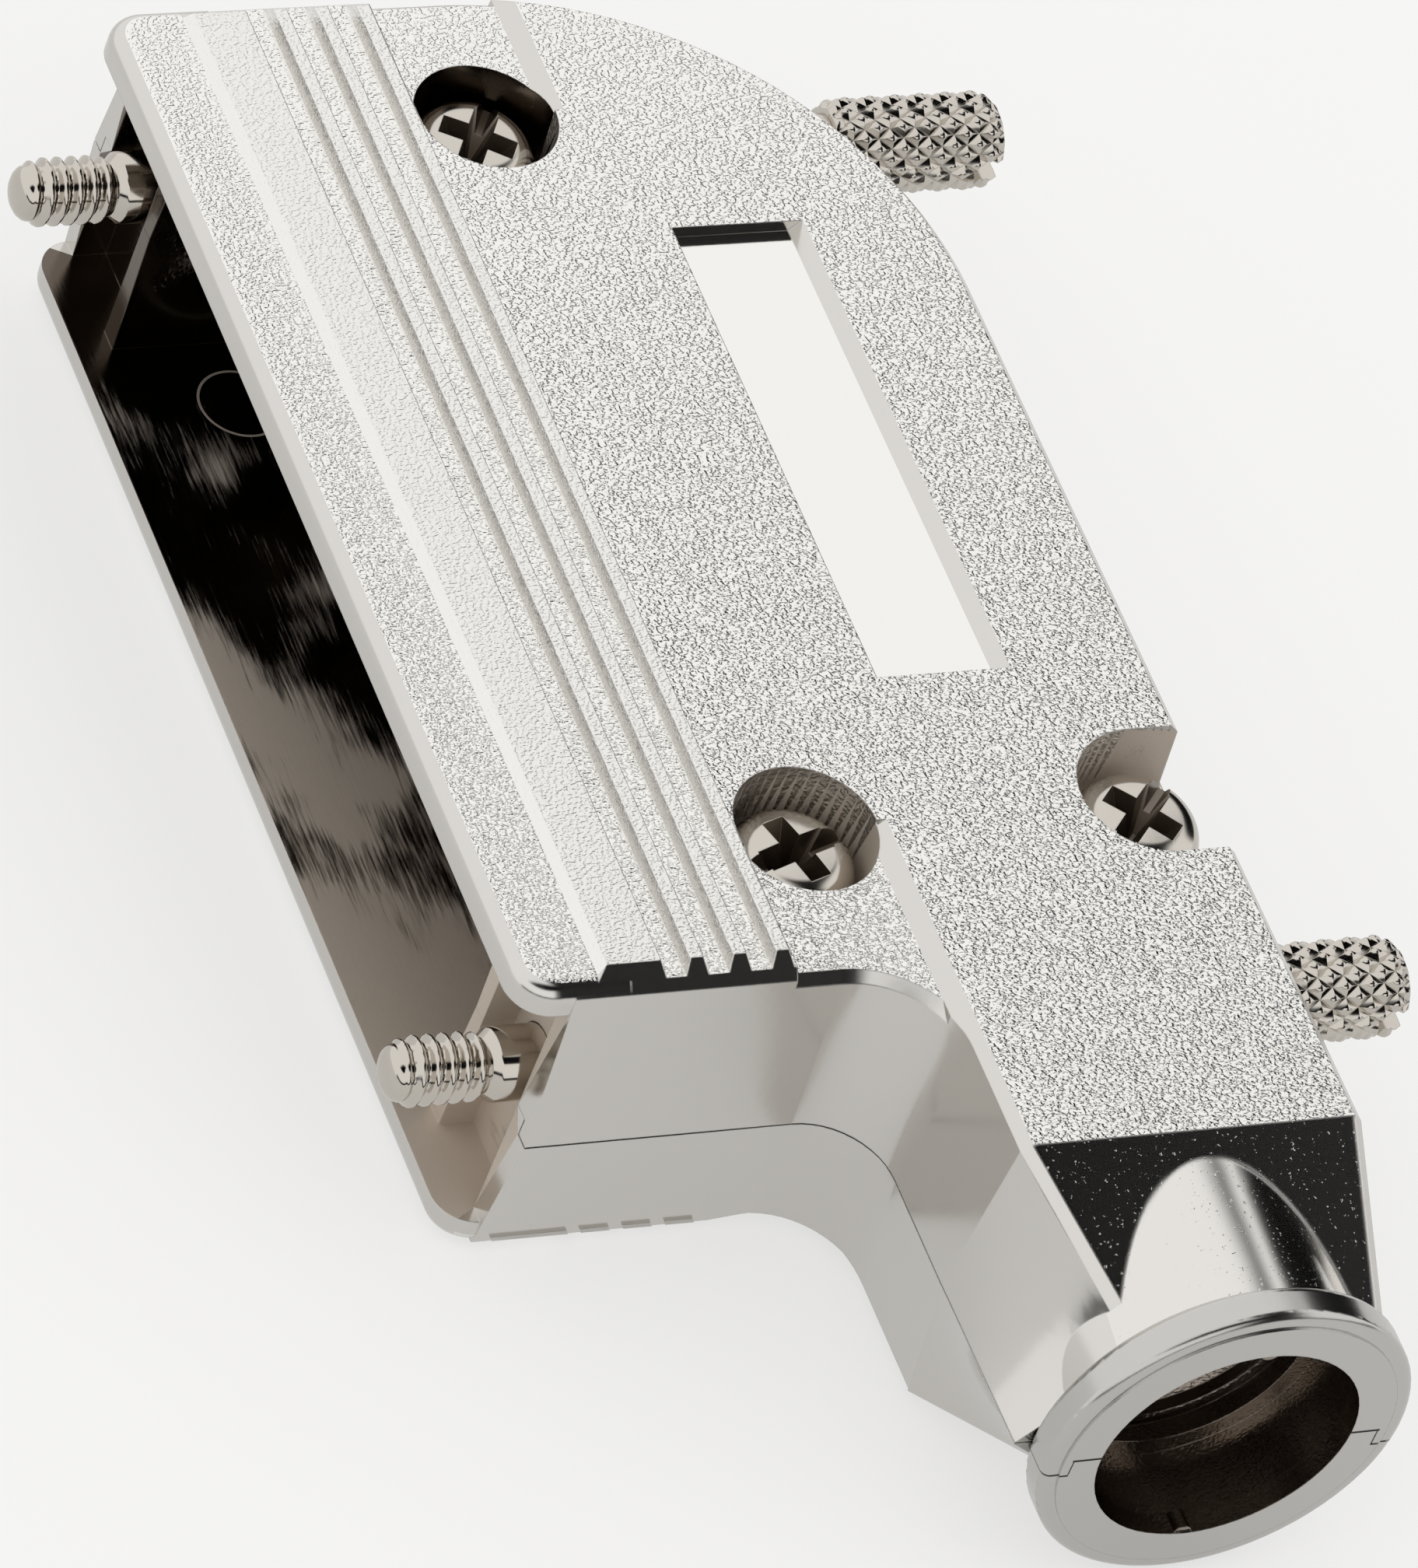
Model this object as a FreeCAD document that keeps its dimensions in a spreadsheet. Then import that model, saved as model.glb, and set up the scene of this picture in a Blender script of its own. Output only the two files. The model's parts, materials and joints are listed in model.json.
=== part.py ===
"""Metal hood for a 25-way d-sub connector, with a side cable outlet.

Two die-cast half shells meet just below the jackscrew axes, with a lap joint all round. Three
screws clamp them. Two captive jackscrews turn and slide in saddles cast into both shells.

Row frame, in millimetres: X runs along the mouth towards the cable outlet, Y from the mouth to
the back, Z up through the shell that carries the screw heads. The origin lies midway between the
jackscrews, at the middle of their threads. Sizes along Y count from the plane where the
connector's flange seats, seat_y behind the origin.
"""

import FreeCAD, Part
import Sketcher

import os
import re
from math import atan2, sqrt

V = FreeCAD.Vector

SIZES = [
    # plan of the body, at the outer face of either shell
    ("seat_y", 3.0, "origin to the seat plane"),
    ("jack_pitch", 47.04, "between the jackscrew axes, 25-way size"),
    ("end_margin", 2.88, "jackscrew axis to the side face"),
    ("half_width", "=jack_pitch / 2 + end_margin", "middle to either side face"),
    ("body_depth", 30.6, "seat plane to the back face"),
    ("corner_radius", 17.6, "rounded back corner away from the outlet"),
    ("neck_width", 15.0, "outlet neck, across"),
    ("neck_reach", 9.3, "side face to the end of the neck's flat faces"),
    ("neck_end", "=half_width + neck_reach", "middle to the end of the neck's flat faces"),
    ("neck_fillet", 4.0, "inside corner between the mouth and the neck"),
    # heights, from the parting plane
    ("half_thick", 7.6, "to the outer faces"),
    ("floor_half", 6.3, "to the inner floors: the connector flange fits between them"),
    ("draft", 5.0, "draft of the outer walls, degrees"),
    ("side_wall", 0.8, "outer wall where it meets the outer face"),
    ("edge_break", 0.4, "bevel round the upper outer face"),
    ("low_edge_break", 0.1, "bevel round the lower outer face"),
    # lap joint
    ("seam_drop", 0.85, "outer seam below the parting plane"),
    ("seam_gap", 0.08, "open seam line"),
    ("lap_width", 0.7, "skirt of the upper shell"),
    ("lap_gap", 0.06, "skirt to tongue"),
    ("lap_reach", 1.0, "tongue into the neck's end"),
    # bands and ridges across the outer faces
    ("lip_reach", 2.3, "upper lip in front of the seat plane"),
    ("low_lip_reach", 1.6, "lower lip in front of the seat plane"),
    ("lip_round", 0.75, "rounded front edge of the lips"),
    ("lip_corner", 1.7, "rounded front corners of the lips"),
    ("lip_rise", 0.1, "front band above the outer face"),
    ("band_start", 1.35, "raised band from the seat plane"),
    ("band_width", 2.34, "raised band"),
    ("band_flank", 0.4, "slope of the raised band's front side"),
    ("ridge_start", 4.96, "first ridge from the seat plane"),
    ("ridge_pitch", 1.85, "between ridges"),
    ("ridge_width", 0.55, "top of a ridge"),
    ("ridge_flank", 0.22, "slope of a ridge's long sides"),
    ("ridge_rise", 0.5, "band and ridges above the outer face"),
    ("bar_root", 0.3, "band and ridges below the outer face"),
    # label recess
    ("label_length", 24.5, "recess along the hood"),
    ("label_width", 5.95, "recess across"),
    ("label_x", -0.5, "middle of the recess"),
    ("label_margin", 9.2, "back face to the middle of the recess"),
    ("label_y", "=body_depth - label_margin", "middle of the recess"),
    ("label_depth", 0.6, "recess below the face"),
    ("label_slope", 0.5, "sloped long side of the recess"),
    # assembly screws and their wells
    ("screw_y", 12.6, "front screws from the seat plane"),
    ("screw_far_margin", 3.92, "jackscrew axis to the front screw away from the outlet"),
    ("screw_near_margin", 4.52, "jackscrew axis to the front screw beside the outlet"),
    ("screw_back_margin", 4.92, "jackscrew axis to the back screw"),
    ("screw_back_inset", 2.5, "back screw from the back face"),
    ("screw_far_x", "=screw_far_margin - jack_pitch / 2", "front screw away from the outlet"),
    ("screw_near_x", "=jack_pitch / 2 - screw_near_margin", "front screw beside the outlet"),
    ("screw_back_x", "=jack_pitch / 2 - screw_back_margin", "back screw"),
    ("screw_back_y", "=body_depth - screw_back_inset", "back screw from the seat plane"),
    ("screw_radius", 1.5, "M3 thread"),
    ("screw_length", 8.0, "below the head"),
    ("screw_head_radius", 2.7, "pan head"),
    ("screw_head_height", 2.1, "pan head"),
    ("recess_reach", 1.45, "cross recess, middle to its ends"),
    ("recess_width", 0.8, "cross recess"),
    ("recess_depth", 1.2, "cross recess"),
    ("screw_fit", 0.02, "thread to its tapped hole, drawn plain"),
    ("screw_hole", 1.7, "clearance hole radius in the upper shell"),
    ("well_radius", 3.05, "counterbore"),
    ("well_seat", 4.1, "seat of the screw heads above the parting plane"),
    ("well_wall", 0.85, "wall and floor of a counterbore"),
    ("notch_radius", 3.2, "open counterbore at the back face"),
    ("boss_radius", 2.2, "screw bosses"),
    ("channel_depth", 0.38, "recess beside the front screws"),
    ("channel_slope", 0.8, "sloped long side of that recess"),
    ("low_channel_start", 12.0, "the same recess on the lower face, from the seat plane"),
    ("low_channel_slope", 2.4, "its gentle slopes"),
    # jackscrews and what holds them
    ("jack_radius", 1.5, "shank"),
    ("jack_fit", 0.05, "shank to its saddles, radial"),
    ("thread_radius", 1.42, "4-40 UNC, outside"),
    ("thread_root", 1.12, "4-40 UNC, root"),
    ("thread_pitch", 0.635, "4-40 UNC"),
    ("thread_length", 4.2, "tip to the thread's end"),
    ("tip_reach", 5.1, "tip in front of the seat plane"),
    ("collar_lead", 0.35, "bevel where the shank starts"),
    ("head_radius", 2.1, "knurled head, over the knurl"),
    ("head_gap", 1.15, "back face to the knurled head"),
    ("head_start", "=body_depth + head_gap", "knurled head from the seat plane"),
    ("head_length", 7.8, "knurled head"),
    ("head_bevel", 0.35, "both ends of the knurled head"),
    ("slot_width", 1.05, "screwdriver slot"),
    ("slot_depth", 1.25, "screwdriver slot"),
    ("web_wall", 0.75, "webs inboard of the jackscrews, at the parting plane"),
    ("web_draft", 0.3, "thickening of the webs at the floor"),
    ("web_margin", 2.92, "jackscrew axis to the inboard face of a web"),
    ("web_x", "=jack_pitch / 2 - web_margin", "middle to the inboard face of a web"),
    ("saddle_start", 1.5, "front saddle from the seat plane"),
    ("saddle_wall", 1.5, "front saddle"),
    ("stop_start", 8.3, "rear stop from the seat plane"),
    ("stop_wall", 1.2, "rear stop"),
    ("ring_wire", 0.75, "retaining ring, along the jackscrew"),
    ("ring_outside", 1.85, "retaining ring"),
    ("ring_groove", 1.15, "groove in the shank, radius"),
    ("ring_opening", 1.6, "gap in the retaining ring"),
    ("ring_play", 0.05, "retaining ring in its groove, and to the saddle"),
    # neck end and cable outlet
    ("ramp_length", 7.9, "sloped end of the neck"),
    ("ramp_drop", 3.6, "fall of the sloped end"),
    ("ramp_front_inset", 3.3, "narrowing of the slope on the mouth side"),
    ("ramp_back_inset", 0.9, "narrowing of the slope on the back side"),
    ("ramp_seam_inset", 0.1, "narrowing of the slope along the seam"),
    ("outlet_margin", 7.3, "back face to the outlet axis"),
    ("outlet_y", "=body_depth - outlet_margin", "outlet axis from the seat plane"),
    ("collar_root", 7.25, "collar radius at the neck"),
    ("collar_end", 6.75, "collar radius at the ring"),
    ("outlet_lap", 6.65, "tongue at the outlet, either side of its axis"),
    ("ring_radius", 7.8, "outlet ring"),
    ("collar_length", 8.0, "end of the neck's flat faces to the back of the outlet ring"),
    ("ring_length", 1.7, "outlet ring"),
    ("ring_back", "=neck_end + collar_length", "middle to the back of the outlet ring"),
    ("ring_face", "=ring_back + ring_length", "middle to the outlet's end face"),
    ("ring_round", 0.35, "rounded edge of the outlet ring"),
    ("ring_cove", 0.3, "hollow corner behind the outlet ring"),
    ("face_step", 0.08, "fine step in the outlet's end face"),
    ("face_step_radius", 7.1, "fine step in the outlet's end face"),
    ("bore_radius", 5.5, "outlet bore"),
    ("bore_lip", 1.0, "front lip of the bore"),
    ("groove_radius", 6.05, "wide groove in the bore"),
    ("groove_length", 3.4, "wide groove in the bore"),
    ("inner_lip_radius", 5.2, "lip behind the groove"),
    ("inner_lip", 0.8, "lip behind the groove"),
    ("grip_radius", 5.75, "bore between the grip ridges"),
    ("grip_ridge", 0.3, "height of the grip ridges"),
    ("grip_pitch", 0.95, "between grip ridges"),
    ("nub_radius", 0.4, "small nubs in the bore lip"),
]
NAMES = sorted((name for name, _, _ in SIZES), key=len, reverse=True)
ALIAS = re.compile(r"(?<![\w.])(" + "|".join(NAMES) + r")(?!\w)")

FLARE = "((half_thick - edge_break + seam_drop) * tan(draft))"  # the walls stand out at the seam
NECK_FRONT = "(body_depth - neck_width)"
JACK_X = "(jack_pitch / 2)"
HOLE = "(jack_radius + jack_fit)"

doc = FreeCAD.newDocument("DsubHood")
sheet = doc.addObject("Spreadsheet::Sheet", "Sizes")


def fill_sheet():
    for row, (name, value, note) in enumerate(SIZES, start=1):
        sheet.set(f"A{row}", name)
        sheet.set(f"B{row}", str(value))
        sheet.set(f"C{row}", note)
        sheet.setAlias(f"B{row}", name)
    doc.recompute()


def formula(text):
    """The text as a document expression, with each size read from the sheet."""
    text = ALIAS.sub(r"Sizes.\1", str(text))
    return re.sub(r"\btan\(([^)]*)\)", r"tan(\1 * 1 deg)", text)


def number(text):
    """A formula's value now, for what a sketch or a fillet needs as a plain number."""
    value = sheet.evalExpression(formula(text))
    return float(getattr(value, "Value", value))


def bind(obj, **properties):
    """Binds properties to formulas. Two underscores stand for a dot."""
    for name, text in properties.items():
        obj.setExpression(name.replace("__", "."), formula(text))


def place(obj, x=0, y=0, z=0, turn=None):
    """Places an object. Its y counts from the seat plane."""
    if turn:
        obj.Placement.Rotation = FreeCAD.Rotation(*turn)
    bind(obj, Placement__Base__x=x, Placement__Base__y=f"{y} + seat_y", Placement__Base__z=z)
    return obj


# Primitives and booleans, all bound to the sheet.


def box(name, x, y, z):
    """A box from (low, high) formulas along each axis."""
    obj = doc.addObject("Part::Box", name)
    bind(
        obj,
        Length=f"({x[1]}) - ({x[0]})",
        Width=f"({y[1]}) - ({y[0]})",
        Height=f"({z[1]}) - ({z[0]})",
    )
    return place(obj, x[0], y[0], z[0])


def cylinder(name, radius, length, x, y, z, along="z"):
    obj = doc.addObject("Part::Cylinder", name)
    bind(obj, Radius=radius, Height=length)
    turns = {"z": None, "y": (V(1, 0, 0), -90), "x": (V(0, 1, 0), 90)}
    return place(obj, x, y, z, turns[along])


def fuse(name, shapes):
    obj = doc.addObject("Part::MultiFuse", name)
    obj.Shapes = shapes
    obj.Refine = True
    return obj


def cut(name, base, *tools):
    """Takes the tools from the base, one boolean for the lot."""
    obj = doc.addObject("Part::Cut", name)
    obj.Base = base
    obj.Tool = tools[0] if len(tools) == 1 else fuse(name + "_tools", list(tools))
    obj.Refine = True
    return obj


def arc_between(start, end, radius):
    """The shorter arc from start to end. A positive radius turns anticlockwise."""
    chord = end - start
    half = chord.Length / 2
    side = V(-chord.y, chord.x, 0) / chord.Length
    rise = sqrt(max(radius * radius - half * half, 0.0))
    centre = (start + end) / 2 + side * (rise if radius > 0 else -rise)
    circle = Part.Circle(centre, V(0, 0, 1), abs(radius))
    first, last = (start, end) if radius > 0 else (end, start)
    angles = [atan2(p.y - centre.y, p.x - centre.x) for p in (first, last)]
    return Part.ArcOfCircle(circle, *angles)


def outline(sketch, corners):
    """Draws a closed outline whose corners, and the radii of its arcs, are formulas.

    A corner is (x, y), or (x, y, radius) where an arc leaves it: anticlockwise when positive.
    """
    points = [V(number(c[0]), number(c[1]), 0) for c in corners]
    ends = []  # for each side: its index, and which of its ends comes first
    for i, corner in enumerate(corners):
        start, end = points[i], points[(i + 1) % len(points)]
        if len(corner) == 3:
            radius = number(corner[2])
            index = sketch.addGeometry(arc_between(start, end, radius), False)
            ends.append((index, (1, 2) if radius > 0 else (2, 1)))
            size = sketch.addConstraint(Sketcher.Constraint("Radius", index, abs(radius)))
            sketch.setExpression(f"Constraints[{size}]", formula(f"abs({corner[2]})"))
        else:
            index = sketch.addGeometry(Part.LineSegment(start, end), False)
            ends.append((index, (1, 2)))
    for i, (index, (first, _)) in enumerate(ends):
        before, (_, last) = ends[i - 1]
        sketch.addConstraint(Sketcher.Constraint("Coincident", before, last, index, first))
        for kind, text, at in zip(("DistanceX", "DistanceY"), corners[i], points[i]):
            size = sketch.addConstraint(Sketcher.Constraint(kind, -1, 1, index, first, at))
            sketch.setExpression(f"Constraints[{size}]", formula(text))


def flat_sketch(name, corners, z="0"):
    """An outline in a plane of constant height."""
    sketch = place(doc.addObject("Sketcher::SketchObject", name), 0, 0, z)
    outline(sketch, corners)
    return sketch


def section_sketch(name, corners, x):
    """An outline across X: its corners are (y, z)."""
    sketch = doc.addObject("Sketcher::SketchObject", name)
    place(sketch, x, 0, 0, (V(1, 1, 1), 120))
    outline(sketch, corners)
    return sketch


def extrude(name, sketch, length, taper="0", down=False):
    obj = doc.addObject("Part::Extrusion", name)
    obj.Base = sketch
    obj.DirMode = "Custom"
    obj.Dir = V(0, 0, -1 if down else 1)
    obj.Solid = True
    bind(obj, LengthFwd=length, TaperAngle=taper)
    return obj


def revolve(name, corners, base_y="0"):
    """Turns an outline of (x, radius) corners round an axis along X."""
    sketch = doc.addObject("Sketcher::SketchObject", name + "_profile")
    outline(sketch, corners)
    obj = doc.addObject("Part::Revolution", name)
    obj.Source = sketch
    obj.Axis = V(1, 0, 0)
    obj.Angle = 360
    obj.Solid = True
    return place(obj, 0, base_y, 0)


def sloped_block(name, x, y, base, height, up, left="0", right="0", front="0", back="0"):
    """A block that grows from its base, up or down, with sloped sides.

    x and y are (low, high) at the base. left, right, front and back are how far each side
    moves outwards over the height, or inwards where they are negative.
    """
    obj = doc.addObject("Part::Wedge", name)
    bind(obj, Xmin=x[0], Xmax=x[1], X2min=f"{x[0]} - ({left})", X2max=f"{x[1]} + {right}")
    bind(obj, Ymin="0", Ymax=height)
    low, high = f"({y[0]})", f"({y[1]})"
    if up:  # the wedge's third axis points to the mouth here, and to the back otherwise
        bind(obj, Zmin=f"-{high}", Zmax=f"-{low}")
        bind(obj, Z2min=f"-({high} + {back})", Z2max=f"-({low} - ({front}))")
    else:
        bind(obj, Zmin=low, Zmax=high, Z2min=f"{low} - ({front})", Z2max=f"{high} + {back}")
    way = 1 if up else -1
    obj.Placement.Rotation = FreeCAD.Rotation(V(1, 0, 0), V(0, 0, way), V(0, -way, 0), "XYZ")
    return place(obj, 0, 0, base)


def round_edges(name, base, radius, chosen):
    """Rounds the edges of base that the test picks."""
    doc.recompute()
    picked = [i for i, edge in enumerate(base.Shape.Edges, start=1) if chosen(edge)]
    obj = doc.addObject("Part::Fillet", name)
    obj.Base = base
    size = number(radius)
    obj.Edges = [(i, size, size) for i in picked]
    return obj


# The plan that both shells, their cavity and their lap joint share.


def plan(inset, front, end):
    """The body's plan, inset from its outer face's edge, from front to the neck's end."""
    arc_x, arc_y = "(corner_radius - half_width)", "(body_depth - corner_radius)"
    return [
        (f"-(half_width - {inset})", front),
        (f"half_width - {inset}", front),
        (f"half_width - {inset}", f"{NECK_FRONT} - neck_fillet", f"-(neck_fillet + {inset})"),
        ("half_width + neck_fillet", f"{NECK_FRONT} + {inset}"),
        (end, f"{NECK_FRONT} + {inset}"),
        (end, f"body_depth - {inset}"),
        (arc_x, f"body_depth - {inset}", f"corner_radius - {inset}"),
        (f"-(half_width - {inset})", arc_y),
    ]


def seam_of(side):
    """Height of a shell's edge at the outer seam."""
    return "-seam_drop" if side > 0 else "-(seam_drop + seam_gap)"


def break_of(side):
    """The bevel round a shell's outer face."""
    return "edge_break" if side > 0 else "low_edge_break"


def neck_section(side, drop="0", front_inset="0", back_inset="0", seam_inset="0"):
    """The neck's section on one side of the seam, as (y, z) corners."""
    bevel = break_of(side)
    shoulder, top = (f"{side} * (half_thick - {drop} - {cut_off})" for cut_off in (bevel, "0"))
    corners = [
        (f"{NECK_FRONT} - {FLARE} + {seam_inset}", seam_of(side)),
        (f"body_depth + {FLARE} - {seam_inset}", seam_of(side)),
        (f"body_depth - {back_inset}", shoulder),
        (f"body_depth - {back_inset} - {bevel}", top),
        (f"{NECK_FRONT} + {front_inset} + {bevel}", top),
        (f"{NECK_FRONT} + {front_inset}", shoulder),
    ]
    return corners if side > 0 else corners[::-1]


def neck_end(name, side):
    """The outlet neck: a straight length, then a slope whose sides twist in to the ring."""
    sections = [
        section_sketch(name + "_start", neck_section(side), "neck_end - 4"),
        section_sketch(name + "_end", neck_section(side), "neck_end"),
        section_sketch(
            name + "_ramp_end",
            neck_section(side, "ramp_drop", "ramp_front_inset", "ramp_back_inset", "ramp_seam_inset"),
            "neck_end + ramp_length",
        ),
    ]
    made = []
    for part, pair in (("straight", sections[:2]), ("ramp", sections[1:])):
        loft = doc.addObject("Part::Loft", f"{name}_{part}")
        loft.Sections = pair
        loft.Solid = True
        loft.Ruled = True
        made.append(loft)
    return made


def outer_form(name, side):
    """The outside of one shell as a solid block: body, neck, lips, band and ridges."""
    shoulder = f"{side} * (half_thick - {break_of(side)})"
    height = f"abs({shoulder} - ({seam_of(side)}))"
    sketch = flat_sketch(name + "_plan", plan("0", f"-{FLARE} - 1", "neck_end - 2"), shoulder)
    block = extrude(name + "_block", sketch, height, f"atan({FLARE} / ({height}))", down=side > 0)
    bevel = extrude(name + "_bevel", sketch, break_of(side), "-45", down=side < 0)
    front = box(
        name + "_front_trim",
        ("-half_width - 5", "half_width + 5"),
        (f"-{FLARE} - 5", "0"),
        ("-half_thick - 1", "half_thick + 1"),
    )
    body = cut(name + "_body", fuse(name + "_blank", [block, bevel]), front)
    return [body, *neck_end(name + "_neck", side), lip(name + "_lip", side), *bands(name, side)]


def lip(name, side):
    """The front band: a plate with a rounded edge that stands in front of the seat plane."""
    reach = "lip_reach" if side > 0 else "low_lip_reach"
    sketch = flat_sketch(
        name + "_plan",
        [
            ("-half_width", "band_start + 1"),
            ("-half_width", f"lip_corner - {reach}", "lip_corner"),
            ("lip_corner - half_width", f"-{reach}"),
            ("half_width - lip_corner", f"-{reach}", "lip_corner"),
            ("half_width", f"lip_corner - {reach}"),
            ("half_width", "band_start + 1"),
        ],
        f"{side} * floor_half",
    )
    plate = extrude(name + "_plate", sketch, "half_thick + lip_rise - floor_half", down=side < 0)
    top = side * number("half_thick + lip_rise")
    back = number("seat_y + band_start") + 0.9

    def outer_edge(edge):
        room = edge.BoundBox
        return abs(room.ZMin - top) < 1e-4 and abs(room.ZMax - top) < 1e-4 and room.YMin < back

    return round_edges(name, plate, "lip_round", outer_edge)


def bands(name, side):
    """The raised band and the three ridges behind it. Their ends carry on the plate's bevel."""
    made = [bar(name + "_band", "band_start", "band_width", "band_flank", side)]
    for ridge in range(3):
        start = f"(ridge_start + {ridge} * ridge_pitch)"
        made.append(bar(f"{name}_ridge_{ridge + 1}", start, "ridge_width", "ridge_flank", side))
    return made


def bar(name, start, width, front_flank, side):
    """One raised bar across the outer face, rooted a little way below it."""
    rise = "(ridge_rise + bar_root)"
    front, back = (f"({flank} * {rise} / ridge_rise)" for flank in (front_flank, "ridge_flank"))
    end = f"(half_width - {break_of(side)} + bar_root)"
    return sloped_block(
        name,
        (f"-{end}", end),
        (f"{start} - {front}", f"{start} + {width} + {back}"),
        f"{side} * (half_thick - bar_root)",
        rise,
        side > 0,
        left=f"-{rise}",
        right=f"-{rise}",
        front=f"-{front}",
        back=f"-{back}",
    )


# What is cut into the shells, and what stands inside them.


def heights(side, low, high):
    """A (low, high) pair of heights above the parting plane, mirrored for the lower shell."""
    return (low, high) if side > 0 else (f"-({high})", f"-({low})")


def cavity(name, side):
    """The hollow inside a shell, open at the mouth and closed at the neck's end."""
    sketch = flat_sketch(name + "_plan", plan("side_wall", "-lip_reach - 1", "neck_end"))
    return extrude(name, sketch, "floor_half", down=side < 0)


def outlet_form(name, side):
    """One shell's part of the collar and the ring round the cable outlet."""
    body = revolve(
        name + "_turned",
        [
            ("neck_end - 1", "1"),
            ("ring_face", "1"),
            ("ring_face", "face_step_radius"),
            ("ring_face - face_step", "face_step_radius"),
            ("ring_face - face_step", "ring_radius - ring_round", "ring_round"),
            ("ring_face - face_step - ring_round", "ring_radius"),
            ("ring_back + ring_round", "ring_radius", "ring_round"),
            ("ring_back", "ring_radius - ring_round", "-ring_cove"),
            ("ring_back - ring_cove", "ring_radius - ring_round - ring_cove"),
            ("ring_back - ring_cove", "collar_end"),
            ("neck_end - 1", "collar_root"),
        ],
        "outlet_y",
    )
    away = ("-ring_radius - 5", seam_of(side)) if side > 0 else (seam_of(side), "ring_radius + 5")
    other = box(
        name + "_other_half",
        ("neck_end - 3", "ring_face + 3"),
        ("outlet_y - ring_radius - 3", "outlet_y + ring_radius + 3"),
        away,
    )
    return cut(name, body, other)


def outlet_bore(name):
    """The stepped cable bore: lip, wide groove, inner lip, then grip ridges to the hollow."""
    corners = [("ring_face + 1", "0"), ("ring_face + 1", "bore_radius")]
    groove = "ring_face - bore_lip"
    corners += [(groove, "bore_radius"), (groove, "groove_radius")]
    lip_start = f"{groove} - groove_length"
    corners += [(lip_start, "groove_radius"), (lip_start, "inner_lip_radius")]
    ridges = f"{lip_start} - inner_lip"
    corners += [(ridges, "inner_lip_radius"), (ridges, "grip_radius")]
    for turn in range(4):
        at = f"{ridges} - {turn} * grip_pitch"
        corners += [(f"{at} - 0.45 * grip_pitch", "grip_radius")]
        corners += [(f"{at} - 0.7 * grip_pitch", "grip_radius - grip_ridge")]
        corners += [(f"{at} - 0.95 * grip_pitch", "grip_radius")]
    corners += [("neck_end - side_wall - 1", "grip_radius"), ("neck_end - side_wall - 1", "0")]
    return revolve(name, corners, "outlet_y")


def jack_holes(name):
    made = []
    for word, sign in (("far", "-"), ("near", "")):
        length = "body_depth + 10"
        made.append(cylinder(f"{name}_{word}", HOLE, length, f"{sign}{JACK_X}", "-5", "0", "y"))
    return made


def jack_guides(name, side):
    """Webs and cross walls that make each jackscrew's channel, for both ends of the mouth."""
    made = []
    height = "floor_half + 0.2"
    rise = heights(side, "0", height)
    for word, sign in (("far", -1), ("near", 1)):
        web = spread(sign, "web_x - web_draft", "web_x + web_wall")
        thin = {"left" if sign > 0 else "right": "-web_draft"}
        back = "stop_start + stop_wall"
        foot = f"{side} * ({height})"
        made.append(sloped_block(f"{name}_{word}_web", web, ("0", back), foot, height, side < 0, **thin))
        across = spread(sign, "web_x + 0.2", "half_width - side_wall + 0.2")
        front = ("saddle_start", "saddle_start + saddle_wall")
        made.append(box(f"{name}_{word}_saddle", across, front, rise))
        made.append(box(f"{name}_{word}_stop", across, ("stop_start", back), rise))
    return made


def spread(sign, low, high):
    """A (low, high) pair away from the middle, on the side that the sign gives."""
    return (low, high) if sign > 0 else (f"-({high})", f"-({low})")


def screw_places():
    return [
        ("far", "screw_far_x", "screw_y"),
        ("near", "screw_near_x", "screw_y"),
        ("back", "screw_back_x", "screw_back_y"),
    ]


def upper_bosses(name):
    made = []
    for word, x, y in screw_places():
        wide = "notch_radius" if word == "back" else "well_radius"
        made.append(cylinder(f"{name}_{word}_post", "boss_radius", "well_seat", x, y, "0"))
        floor = "well_seat - well_wall"
        rise = f"floor_half + 0.2 - ({floor})"
        well = cylinder(f"{name}_{word}_well", f"{wide} + well_wall", rise, x, y, floor)
        if word == "back":
            across = ("screw_back_x - 9", "screw_back_x + 9")
            beyond = ("body_depth - 0.3", "body_depth + 9")
            behind = box(f"{name}_behind", across, beyond, ("0", "half_thick"))
            well = cut(f"{name}_back_well_trimmed", well, behind)
        made.append(well)
    return made


def upper_pockets(name):
    """Counterbores, screw holes and the recesses that run from the front screws to the sides."""
    made = []
    for word, x, y in screw_places():
        wide = "notch_radius" if word == "back" else "well_radius"
        made.append(cylinder(f"{name}_{word}_counterbore", wide, "half_thick", x, y, "well_seat"))
        made.append(cylinder(f"{name}_{word}_hole", "screw_hole", "half_thick", x, y, "-1"))
    sides = ("screw_back_x - notch_radius", "screw_back_x + notch_radius")
    high = ("well_seat", "half_thick + 2")
    made.append(box(f"{name}_back_opening", sides, ("screw_back_y", "body_depth + 3"), high))
    return made + channels(name)


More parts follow.
